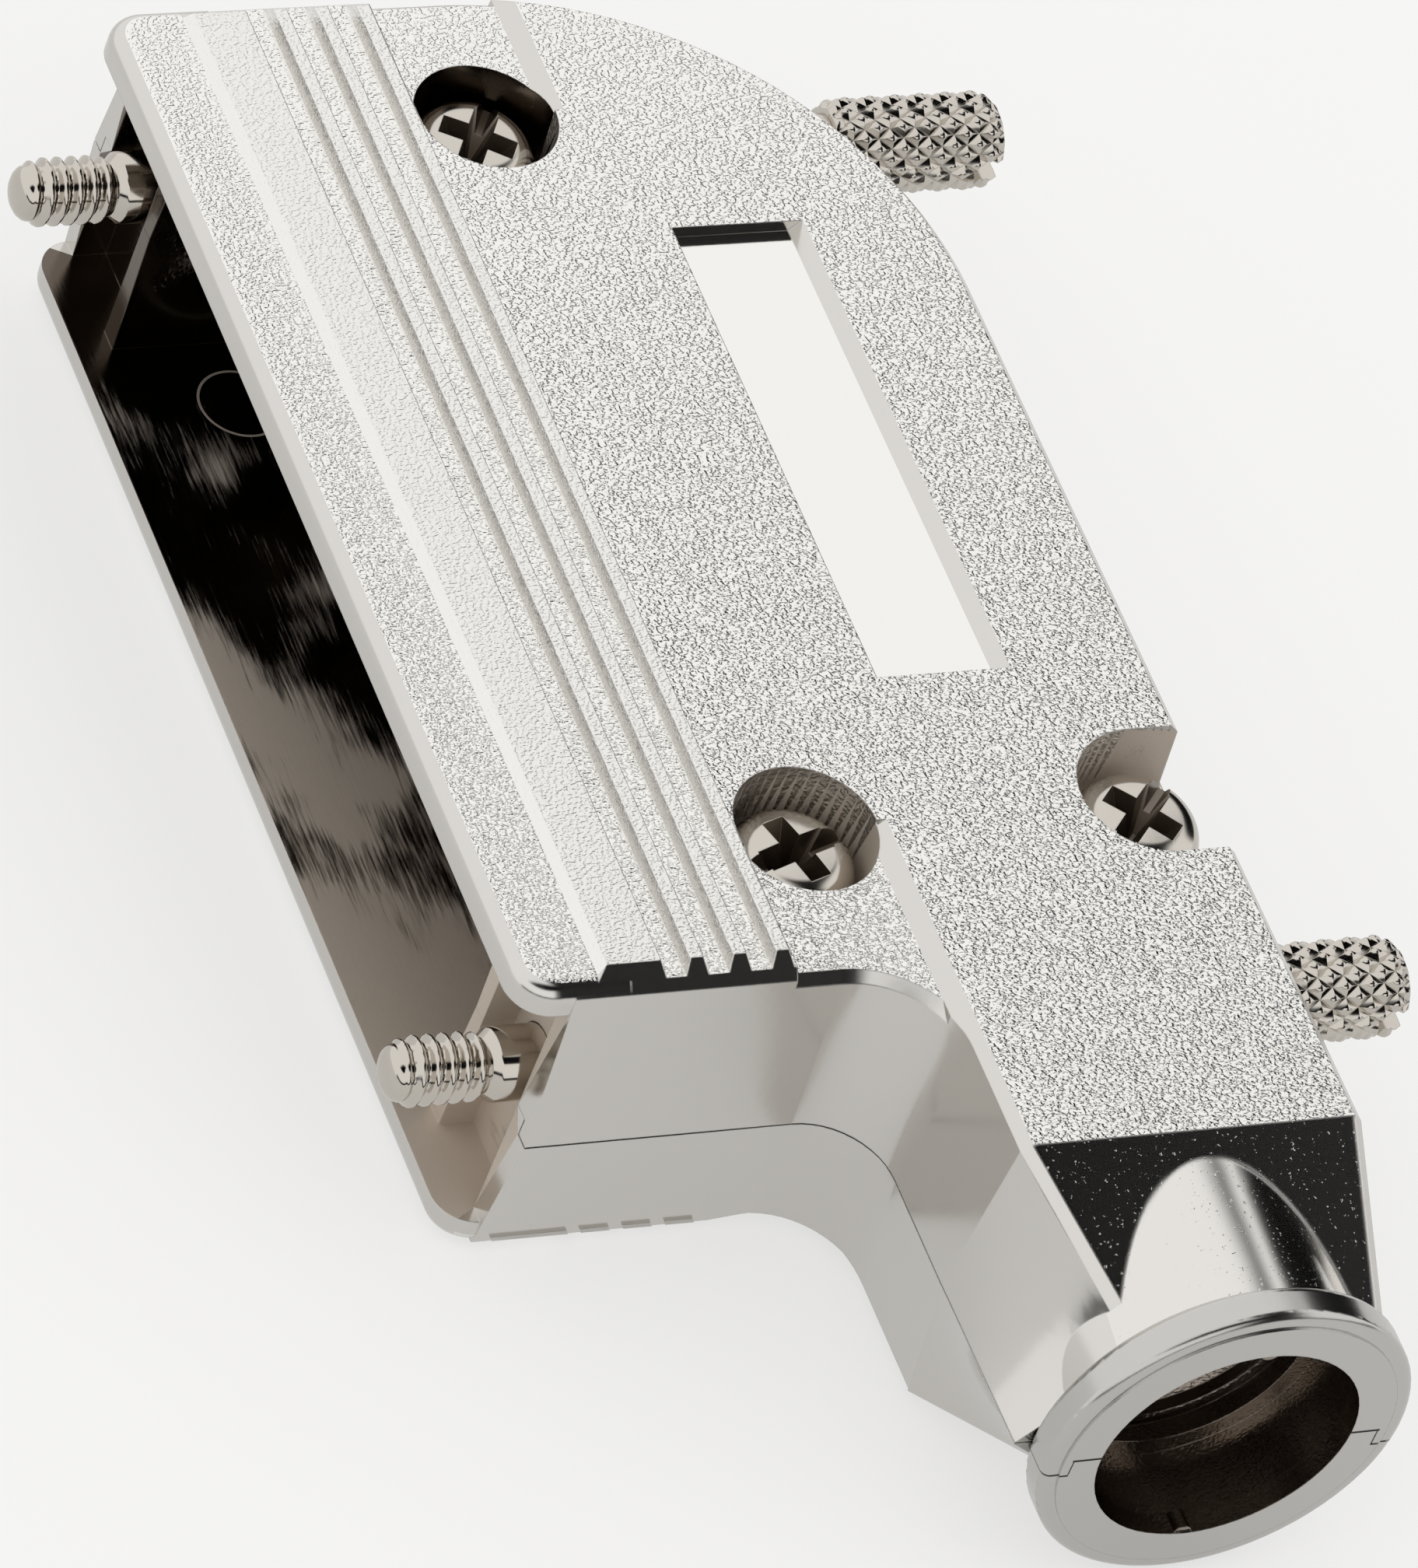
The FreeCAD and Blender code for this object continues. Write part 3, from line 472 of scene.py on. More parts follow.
# Bore: thin plate again, over the cast grain, with a darker tint that paints the bore's shade.
BORE = ErodedNickel(
    "die-cast zinc, cast bore, thin nickel plate", "#968C82", 0.2, depth=0.006 * MM
)
# Jackscrews: turned from bar, so their edges are crisp.
TURNED = TumbledNickel("turned steel, nickel plated", "#CDC7BE", 0.1, edge=0.03 * MM)
# Cover screws: headed cold, so their edges are softer.
HEADED = TumbledNickel("cold-headed steel, nickel plated", "#CFC9C0", 0.15, edge=0.06 * MM)
# Driver recess: its dark tint is painted shade, so it shows dark between the bright edges.
RECESS_IN_PAINTED_SHADE = Nickel("cold-headed steel, punched recess in painted shade", "#857C72", 0.3, edge=0.04 * MM)
# Retaining rings: bare wire, hidden in the shells.
SPRING = Nickel("spring steel wire, drawn", "#9A9895", 0.28)


# The shells


class Region(Enum):
    """Where a face of a shell lies, which decides its finish."""

    SMOOTH = 0
    GRAINED = 1
    PITTED = 2
    ROUGH = 3
    POLISHED = 4
    RING = 5
    INSIDE = 6
    BORE = 7
    STEPPED = 8
    SHARP = 9


@dataclass
class Shells:
    """The two castings. Each face takes the finish that its part of the die left on it.

    The lengths are the solids' own, and place the borders between the finishes.
    """

    half_width: float = 26.4 * MM
    body_back: float = 30.6 * MM + SEAT_Y
    corner_radius: float = 17.6 * MM
    neck_front: float = 15.6 * MM + SEAT_Y
    neck_end: float = 35.7 * MM
    collar_end: float = 43.6 * MM
    ring_face: float = 45.4 * MM
    outlet_y: float = 23.3 * MM + SEAT_Y
    floor_half: float = 6.3 * MM
    bore_limit: float = 6.3 * MM
    collar_limit: float = 7.65 * MM
    recess_half: float = 7.0 * MM
    ridge_half: float = 8.1 * MM
    bands: tuple[float, float] = (4 * MM, 15.5 * MM)  # how far the bands reach along Y
    wall: float = 0.45 * MM  # less than any wall, so the hollow's border falls inside it
    slack: float = 0.05 * MM
    margin: float = 0.2 * MM
    level: float = 0.95  # a face is level where its normal's Z is above this
    well_reaches: tuple[float, float, float] = (4.2 * MM, 4.2 * MM, 5.4 * MM)
    well_heights: tuple[float, float] = (3 * MM, 7.6 * MM)
    nodes: tuple[str, ...] = ("upper_shell", "lower_shell")
    finishes: dict[Region, Nickel] = field(
        default_factory=lambda: {
            Region.SMOOTH: SMOOTH,
            Region.GRAINED: GRAINED,
            Region.PITTED: PITTED,
            Region.ROUGH: ROUGH,
            Region.POLISHED: POLISHED,
            Region.RING: RING,
            Region.INSIDE: INSIDE,
            Region.BORE: BORE,
            Region.STEPPED: STEPPED,
            Region.SHARP: SHARP,
        }
    )

    def is_hollow(self, x: np.ndarray, y: np.ndarray, z: np.ndarray) -> np.ndarray:
        """Finds the faces that line the hollow.

        Args:
            x: The faces' middles along X.
            y: The same along Y.
            z: The same along Z.

        Returns:
            True for each face inside the walls.
        """
        corner_x = self.corner_radius - self.half_width
        corner_y = self.body_back - self.corner_radius
        from_corner = np.hypot(x - corner_x, y - corner_y)
        rounded = from_corner < self.corner_radius - self.wall
        in_corner = (x > corner_x) | (y < corner_y) | rounded
        in_front = y < self.body_back - self.wall
        body = (np.abs(x) < self.half_width - self.wall) & in_corner
        neck = (x > 0) & (x < self.neck_end) & (y > self.neck_front + self.wall)
        return (np.abs(z) < self.floor_half + self.slack) & in_front & (body | neck)

    def regions(self, mesh: bpy.types.Mesh) -> np.ndarray:
        """Sorts a shell's faces into regions. A later rule takes faces from an earlier one.

        Args:
            mesh: The shell's mesh.

        Returns:
            A Region value for each face.
        """
        count = len(mesh.polygons)
        middles, normals = np.empty(count * 3), np.empty(count * 3)
        mesh.polygons.foreach_get("center", middles)
        mesh.polygons.foreach_get("normal", normals)
        x, y, z = middles.reshape(-1, 3).T
        normal_x, normal_y, normal_z = normals.reshape(-1, 3).T
        flat, height = np.abs(normal_z), np.abs(z)
        found = np.full(count, Region.SMOOTH.value)
        on_body = x < self.neck_end + self.margin / 2
        outward = normal_z * np.sign(z) > self.level
        recess_low = self.recess_half - self.margin / 2
        recess_high = self.recess_half + self.margin / 2
        ridge_low = self.ridge_half - self.margin
        found[outward & on_body & (height > recess_high) & (height < ridge_low)] = (
            Region.GRAINED.value
        )
        found[outward & (height > ridge_low)] = Region.STEPPED.value
        # The ridges' and bands' ends face along Y
        step = (height > self.recess_half) & (np.abs(normal_y) > 0.5)
        step &= (y > self.bands[0]) & (y < self.bands[1])
        found[step & (np.abs(x) < self.half_width - 1 * MM)] = Region.STEPPED.value
        # Below, the slopes under the bands and what faces back up
        lowest = z < -self.recess_half
        foot = (flat > 0.2) & (flat < 0.9) & (np.abs(normal_y) < 0.5)
        found[lowest & (foot | (normal_z > 0.5))] = Region.SHARP.value
        found[outward & (height > recess_low) & (height < recess_high)] = Region.POLISHED.value
        # The outlet: the collar's crest, the sloped end and the ring
        away = np.hypot(y - self.outlet_y, z)
        radial = ((y - self.outlet_y) * normal_y + z * normal_z) / np.maximum(away, 1e-9)
        collar = (away < self.collar_limit) & (radial > 0.9) & (flat > 0.6)
        sloped = (flat > 0.85) & (np.abs(normal_y) < 0.05) & (normal_x > 0.2)
        found[~on_body & (collar | sloped)] = Region.PITTED.value
        found[x > self.collar_end] = Region.RING.value
        # The wells' walls, but not the back wall that the last well cuts
        outer = (y > self.body_back - 0.5 * MM) & (normal_y > 0.7)
        wall = (flat < 0.9) & (z > self.well_heights[0]) & (z < self.well_heights[1]) & ~outer
        for (_, well_x, well_y, _), reach in zip(SCREWS, self.well_reaches):
            found[wall & (np.hypot(x - well_x, y - well_y) < reach)] = Region.ROUGH.value
        found[self.is_hollow(x, y, z)] = Region.INSIDE.value
        bore = (x > self.neck_end - 1 * MM) & (x < self.ring_face - self.slack)
        found[bore & (away < self.bore_limit)] = Region.BORE.value
        return found

    def dress(self, frame: dict) -> None:
        """Gives the shells their finishes.
        """
        made = {region: finish.build() for region, finish in self.finishes.items()}
        for name in self.nodes:
            mesh = frame["nodes"][name].data
            mesh.materials.clear()
            for region in Region:
                mesh.materials.append(made[region])
            found = self.regions(mesh)
            mesh.polygons.foreach_set("material_index", found.astype(np.int32))
            mesh.update()
            log.info("dressed %s: %s", name, np.bincount(found).tolist())


# Turned pieces


@dataclass
class TurningPattern:
    """Geometry Nodes that turn a profile round Y, with a helical thread and a diamond knurl."""

    around: int = 104
    thread_root: float = 1.12 * MM
    thread_crest: float = 1.42 * MM
    thread_pitch: float = 0.635 * MM
    thread_slope: float = 2.7  # how steeply a crest rises, in crests for each pitch
    thread_valley: float = 0.15  # cut off the wave's foot, which leaves the valleys flat
    knurl_radius: float = 2.1 * MM
    knurl_rim: tuple[float, float] = (0.4 * MM, 0.25 * MM)  # its start, and how far to full depth
    knurl_depth: float = 0.26 * MM
    knurl_pitch: float = 1.18 * MM
    knurl_count: int = 13
    knurl_flat: float = 0.86
    no_thread: float = -1.0  # a thread's end before every piece
    no_knurl: float = 1.0  # a knurl's start past every piece
    merge: float = 0.002 * MM

    def sums(self) -> list[tuple[object, ...]]:
        """The arithmetic of the turning, one named step to a row.

        Returns:
            Rows of a name, an operation and its operands. An operand is a number or a name.
        """
        rim_depth, rim_fade = self.knurl_rim
        return [
            # Which point of the profile, and how far round
            ("index_up", "ADD", "index", 0.5),
            ("row_part", "DIVIDE", "index_up", self.around + 1),
            ("row", "FLOOR", "row_part"),
            ("column", "MULTIPLY_ADD", "row", -(self.around + 1), "index"),
            ("turn", "DIVIDE", "column", self.around),
            # The thread: a flat-topped wave along the helix, where the profile stands proud
            ("leads", "DIVIDE", "along", "Thread pitch"),
            ("helix", "SUBTRACT", "leads", "turn"),
            ("helix_wave", "PINGPONG", "helix", 0.5),
            ("crest", "MULTIPLY_ADD", "helix_wave", self.thread_slope, -self.thread_valley),
            ("crest_cap", "MINIMUM", "crest", 1.0),
            ("crest_foot", "MAXIMUM", "crest_cap", 0.0),
            ("valley", "SUBTRACT", 1.0, "crest_foot"),
            ("proud", "SUBTRACT", "radius", self.thread_root),
            ("stands", "MAXIMUM", "proud", 0.0),
            ("threaded", "LESS_THAN", "along", "Thread end"),
            ("valley_here", "MULTIPLY", "valley", "threaded"),
            ("thread_cut", "MULTIPLY", "valley_here", "stands"),
            # The knurl: two crossing helices leave pyramids
            ("rows", "DIVIDE", "along", "Knurl pitch"),
            ("left", "MULTIPLY_ADD", "turn", float(self.knurl_count), "rows"),
            ("right", "MULTIPLY_ADD", "turn", -float(self.knurl_count), "rows"),
            ("left_wave", "PINGPONG", "left", 0.5),
            ("right_wave", "PINGPONG", "right", 0.5),
            ("lower", "MINIMUM", "left_wave", "right_wave"),
            ("peak", "MULTIPLY", "lower", 2 / self.knurl_flat),
            ("peak_cap", "MINIMUM", "peak", 1.0),
            ("hollow", "SUBTRACT", 1.0, "peak_cap"),
            ("outer", "SUBTRACT", "radius", self.knurl_radius - rim_depth),
            ("share", "DIVIDE", "outer", rim_fade),
            ("share_cap", "MINIMUM", "share", 1.0),
            ("share_foot", "MAXIMUM", "share_cap", 0.0),
            ("headed", "GREATER_THAN", "along", "Knurl start"),
            ("hollow_here", "MULTIPLY", "hollow", "headed"),
            ("hollow_depth", "MULTIPLY", "hollow_here", "Knurl depth"),
            ("knurl_cut", "MULTIPLY", "hollow_depth", "share_foot"),
            # The point's place
            ("cut", "ADD", "thread_cut", "knurl_cut"),
            ("reach", "SUBTRACT", "radius", "cut"),
            ("angle", "MULTIPLY", "turn", math.tau),
            ("cosine", "COSINE", "angle"),
            ("sine", "SINE", "angle"),
            ("x", "MULTIPLY", "reach", "cosine"),
            ("z", "MULTIPLY", "reach", "sine"),
        ]

    def build(self, material: bpy.types.Material) -> tuple[Tree, dict[str, str]]:
        """Makes the tree.

        Args:
            material: The finish of the turned surface.

        Returns:
            The tree, and the identifiers of its inputs by name.
        """
        tree = bpy.data.node_groups.new("turned with thread and knurl", "GeometryNodeTree")
        face = tree.interface
        face.new_socket("Profile", in_out="INPUT", socket_type="NodeSocketGeometry")
        face.new_socket("Turned", in_out="OUTPUT", socket_type="NodeSocketGeometry")
        names = {}
        sizes = {
            "Thread pitch": self.thread_pitch,
            "Thread end": self.no_thread,
            "Knurl pitch": self.knurl_pitch,
            "Knurl depth": self.knurl_depth,
            "Knurl start": self.no_knurl,
        }
        for name, value in sizes.items():
            socket = face.new_socket(name, in_out="INPUT", socket_type="NodeSocketFloat")
            socket.default_value = value
            names[name] = socket.identifier
        given = add_node(tree, "NodeGroupInput").outputs
        made = {name: given[name] for name in sizes}
        made["index"] = add_node(tree, "GeometryNodeInputIndex").outputs[0]
        place = add_node(tree, "GeometryNodeInputPosition").outputs[0]
        sample = add_node(
            tree,
            "GeometryNodeSampleIndex",
            {"Geometry": given["Profile"], "Value": place},
            data_type="FLOAT_VECTOR",
        )
        profile = add_node(tree, "ShaderNodeSeparateXYZ", {0: sample.outputs[0]}).outputs
        made["radius"], made["along"] = profile["X"], profile["Y"]
        for name, operation, *operands in self.sums():
            inputs = {i: made.get(value, value) for i, value in enumerate(operands)}
            made[name] = add_node(tree, "ShaderNodeMath", inputs, operation=operation).outputs[0]
        tree.links.new(made["row"], sample.inputs["Index"])
        count = add_node(
            tree, "GeometryNodeAttributeDomainSize", {"Geometry": given["Profile"]}
        ).outputs["Point Count"]
        grid = add_node(
            tree, "GeometryNodeMeshGrid", {"Vertices X": count, "Vertices Y": self.around + 1}
        ).outputs["Mesh"]
        moved = add_node(
            tree, "ShaderNodeCombineXYZ", {"X": made["x"], "Y": made["along"], "Z": made["z"]}
        ).outputs[0]
        shaped = add_node(
            tree, "GeometryNodeSetPosition", {"Geometry": grid, "Position": moved}
        ).outputs[0]
        closed = add_node(
            tree, "GeometryNodeMergeByDistance", {"Geometry": shaped, "Distance": self.merge}
        ).outputs[0]
        facets = add_node(
            tree,
            "GeometryNodeTriangulate",
            {"Mesh": closed},
            quad_method="SHORTEST_DIAGONAL",
        ).outputs[0]
        real = add_node(tree, "GeometryNodeRealizeInstances", {"Geometry": facets}).outputs[0]
        dressed = add_node(
            tree, "GeometryNodeSetMaterial", {"Geometry": real, "Material": material}
        ).outputs[0]
        add_node(tree, "NodeGroupOutput", {"Turned": dressed})
        return tree, names


@dataclass
class TurnedPiece:
    """A piece turned about Y and cut for a driver, then put in its place on its body."""

    node: str
    body: str
    slot: str
    place: Matrix

    def profile(self) -> list[tuple[float, float]]:
        """The half section from the tip to the head.

        Returns:
            Points of radius and distance along Y.
        """
        raise NotImplementedError

    def settings(self) -> dict[str, float]:
        """What this piece sets in the turning pattern.

        Returns:
            Values by the name of the input.
        """
        return {}

    def cutters(self) -> list[bpy.types.Object]:
        """Makes the blocks that cut the head.

        Returns:
            The blocks, about the Y axis like the piece.
        """
        return []

    def wedge(
        self, size: Vector, middle: Vector, taper: tuple[float, float], turn: float
    ) -> bpy.types.Object:
        """A block that narrows towards the tip.

        Args:
            size: Its sizes across, along and up, at the head's end.
            middle: Its middle before it turns.
            taper: How much of its sizes across and up is left at the tip's end.
            turn: Its turn about Y, in radians.

        Returns:
            The block, linked to the scene.
        """
        mesh = bpy.data.meshes.new("cutter")
        shape = bmesh.new()
        bmesh.ops.create_cube(shape, size=1.0)
        for vert in shape.verts:
            if vert.co.y < 0:
                vert.co.x *= taper[0]
                vert.co.z *= taper[1]
        bmesh.ops.scale(shape, vec=size, verts=shape.verts)
        bmesh.ops.translate(shape, vec=middle, verts=shape.verts)
        spin = Matrix.Rotation(turn, 3, "Y")
        bmesh.ops.rotate(shape, cent=(0, 0, 0), matrix=spin, verts=shape.verts)
        shape.to_mesh(mesh)
        shape.free()
        block = bpy.data.objects.new("cutter", mesh)
        bpy.context.scene.collection.objects.link(block)
        return block

    def build(
        self, tree: Tree, names: dict[str, str], recess: bpy.types.Material
    ) -> bpy.types.Object:
        """Makes the piece.

        Args:
            tree: The turning tree.
            names: Its input identifiers.
            recess: The finish of what the cutters leave.

        Returns:
            The finished piece, riding on its body in place of its solid.
        """
        points = [(radius, along, 0.0) for radius, along in self.profile()]
        mesh = bpy.data.meshes.new(self.node + " profile")
        mesh.from_pydata(points, [(i, i + 1) for i in range(len(points) - 1)], [])
        rough = bpy.data.objects.new(self.node + " profile", mesh)
        bpy.context.scene.collection.objects.link(rough)
        turning = rough.modifiers.new("turning", "NODES")
        turning.node_group = tree
        for name, value in self.settings().items():
            turning[names[name]] = value
        blocks = self.cutters()
        for block in blocks:
            block.data.materials.append(recess)
            cut = rough.modifiers.new("cut", "BOOLEAN")
            cut.object, cut.operation, cut.solver = block, "DIFFERENCE", "EXACT"
            cut.material_mode = "TRANSFER"
        piece = self.plain_copy(rough)
        for spare in (*blocks, rough):
            bpy.data.objects.remove(spare)
        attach(piece, self.body)
        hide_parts(self.node)
        log.info("cut %s: %d faces", self.node, len(piece.data.polygons))
        return piece

    def plain_copy(self, rough: bpy.types.Object) -> bpy.types.Object:
        """Turns an object and its modifiers into a plain mesh in the piece's place.

        Args:
            rough: The object with its modifiers.

        Returns:
            The new object, linked to the scene, with its faces outwards.
        """
        depsgraph = bpy.context.evaluated_depsgraph_get()
        mesh = bpy.data.meshes.new_from_object(rough.evaluated_get(depsgraph))
        mesh.name = self.node + "_cut"
        shape = bmesh.new()
        shape.from_mesh(mesh)
        bmesh.ops.dissolve_degenerate(shape, dist=1e-7, edges=shape.edges)
        bmesh.ops.transform(shape, matrix=self.place, verts=shape.verts)
        bmesh.ops.recalc_face_normals(shape, faces=shape.faces)
        shape.to_mesh(mesh)
        shape.free()
        mesh.shade_smooth()
        mesh.set_sharp_from_angle(angle=SMOOTH_ANGLE)
        piece = bpy.data.objects.new(self.node + "_cut", mesh)
        bpy.context.scene.collection.objects.link(piece)
        return piece


@dataclass
class Jackscrew(TurnedPiece):
    """A captive jackscrew: domed tip, 4-40 thread, shank, ring groove, knurled slotted head."""

    pattern: TurningPattern = field(default_factory=TurningPattern)
    tip: float = SEAT_Y - 5.1 * MM
    dome: tuple[tuple[float, float], ...] = (  # radius, and distance from the tip
        (0.0, 0.0),
        (0.45 * MM, 0.02 * MM),
        (0.75 * MM, 0.1 * MM),
        (0.98 * MM, 0.25 * MM),
        (1.12 * MM, 0.42 * MM),
    )
    dome_length: float = 0.45 * MM
    thread_end: float = SEAT_Y - 0.95 * MM
    thread_leads: tuple[float, float] = (0.5 * MM, 0.35 * MM)  # how far it takes to rise and fall
    thread_points: int = 12  # in each pitch
    proud: float = 1e-7  # keeps the thread's points off the root's radius
    shank_radius: float = 1.5 * MM
    groove: tuple[float, float, float] = (3.0 * MM + SEAT_Y, 3.85 * MM + SEAT_Y, 1.15 * MM)
    head_start: float = 31.75 * MM + SEAT_Y
    head_length: float = 7.8 * MM
    head_bevel: float = 0.35 * MM
    end_inset: float = 0.35 * MM  # the flat end's ring of points, inside the bevel
    knurl_points: int = 8  # in each pitch
    slot_width: float = 1.05 * MM
    slot_depth: float = 1.25 * MM
    slot_spare: tuple[float, float] = (6 * MM, 1 * MM)  # the cutter's length, and what is above

    def profile(self) -> list[tuple[float, float]]:
        """The half section, with close points where the thread and the knurl need them."""
        shape = self.pattern
        points = [(radius, self.tip + along) for radius, along in self.dome]
        start, end = self.tip + self.dome_length, self.thread_end
        rise, fall = self.thread_leads
        steps = round((end - start) / (shape.thread_pitch / self.thread_points))
        for step in range(steps + 1):
            at = start + (end - start) * step / steps
            lead = max(min((at - start) / rise, (end - at) / fall, 1.0), 0.0)
            crest = shape.thread_root + (shape.thread_crest - shape.thread_root) * lead
            points.append((crest + self.proud, at))
        groove_start, groove_end, groove_radius = self.groove
        points += [
            (shape.thread_root, end + 0.03 * MM),
            (self.shank_radius - 0.05 * MM, end + 0.35 * MM),
            (self.shank_radius, end + 0.42 * MM),
            (self.shank_radius, groove_start),
            (groove_radius, groove_start + STEP),
            (groove_radius, groove_end - STEP),
            (self.shank_radius, groove_end),
            (self.shank_radius, self.head_start - STEP),
        ]
        wide, first = shape.knurl_radius, self.head_start
        last = first + self.head_length
        edge = wide - self.head_bevel
        points += [(edge - self.end_inset, first), (edge, first + 2 * STEP)]
        fine = shape.knurl_pitch / self.knurl_points
        for count in range(math.ceil(first / fine), math.floor(last / fine) + 1):
            at = fine * count
            if first + 5 * STEP < at < last - 5 * STEP:
                near_end = max(first + self.head_bevel - at, at - last + self.head_bevel, 0.0)
                points.append((wide - near_end, at))
        return points + [(edge, last - 2 * STEP), (edge - self.end_inset, last), (0.0, last)]

    def settings(self) -> dict[str, float]:
        """Where the thread ends and the knurl starts."""
        return {"Thread end": self.thread_end, "Knurl start": self.head_start - STEP}

    def cutters(self) -> list[bpy.types.Object]:
        """One block for the slot across the head's end."""
        end = self.head_start + self.head_length
        length, above = self.slot_spare
        size = Vector((length, self.slot_depth + above, self.slot_width))
        middle = Vector((0.0, end + (above - self.slot_depth) / 2, 0.0))
        return [self.wedge(size, middle, (1.0, 1.0), 0.0)]


@dataclass
class CoverScrew(TurnedPiece):
    """An M3 pan head screw whose recess takes a flat or a cross driver."""

    drive_turn: float = 0.0
    tip: float = 0.0
    tip_bevel: float = 0.3 * MM
    shank_radius: float = 1.5 * MM
    head_start: float = 4.1 * MM
    head_radius: float = 2.7 * MM
    head_length: float = 2.1 * MM
    head_bevel: float = 0.1 * MM
    dome: tuple[float, float] = (1.15 * MM, 1.25 * MM)  # its rounding's reach in and down
    dome_steps: int = 12
    crown: tuple[float, float] = (0.8 * MM, 0.03 * MM)  # the crown's last ring: radius, rise
    slot_cut: tuple[float, float, float] = (7 * MM, 0.9 * MM, 1.0 * MM)  # length, depth, width
    slot_taper: tuple[float, float] = (1.0, 0.3)
    cross_cut: tuple[float, float, float] = (3.5 * MM, 1.8 * MM, 1.15 * MM)
    cross_taper: tuple[float, float] = (0.3, 0.15)
    above: float = 0.2 * MM  # how far the cutters stand over the head

    def profile(self) -> list[tuple[float, float]]:
        """The half section, with the head's edge rounded to a dome."""
        top = self.head_start + self.head_length
        points = [
            (0.0, self.tip),
            (self.shank_radius - self.tip_bevel, self.tip + STEP),
            (self.shank_radius, self.tip + self.tip_bevel),
            (self.shank_radius, self.head_start - STEP),
            (self.head_radius - self.head_bevel, self.head_start),
            (self.head_radius, self.head_start + self.head_bevel),
        ]
        reach, drop = self.dome
        for step in range(self.dome_steps + 1):
            angle = math.pi / 2 * step / self.dome_steps
            inwards, down = 1 - math.cos(angle), 1 - math.sin(angle)
            points.append((self.head_radius - reach * inwards, top - drop * down))
        crown_radius, crown_rise = self.crown
        return points + [(crown_radius, top + crown_rise), (0.0, top + crown_rise + STEP)]

    def settings(self) -> dict[str, float]:
        """No thread and no knurl: the shank sits in its post."""
        return {"Knurl depth": 0.0}

    def cutters(self) -> list[bpy.types.Object]:
        """A slot right across, and a cross of two wings that narrow with depth."""
        top = self.head_start + self.head_length
        blocks = []
        for (length, depth, width), taper, quarter in (
            (self.slot_cut, self.slot_taper, 0.0),
            (self.cross_cut, self.cross_taper, 0.0),
            (self.cross_cut, self.cross_taper, math.pi / 2),
        ):
            size = Vector((length, depth + self.above, width))
            middle = Vector((0.0, top + (self.above - depth) / 2, 0.0))
            blocks.append(self.wedge(size, middle, taper, self.drive_turn + quarter))
        return blocks


def dress_whole(frame: dict, finish: Nickel, *nodes: str) -> None:
    """Gives whole solids one finish.

    Args:
        finish: Their finish.
        nodes: Their names.
    """
    material = finish.build()
    for name in nodes:
        mesh = frame["nodes"][name].data
        mesh.materials.clear()
        mesh.materials.append(material)
        log.info("dressed %s", name)


# Studio


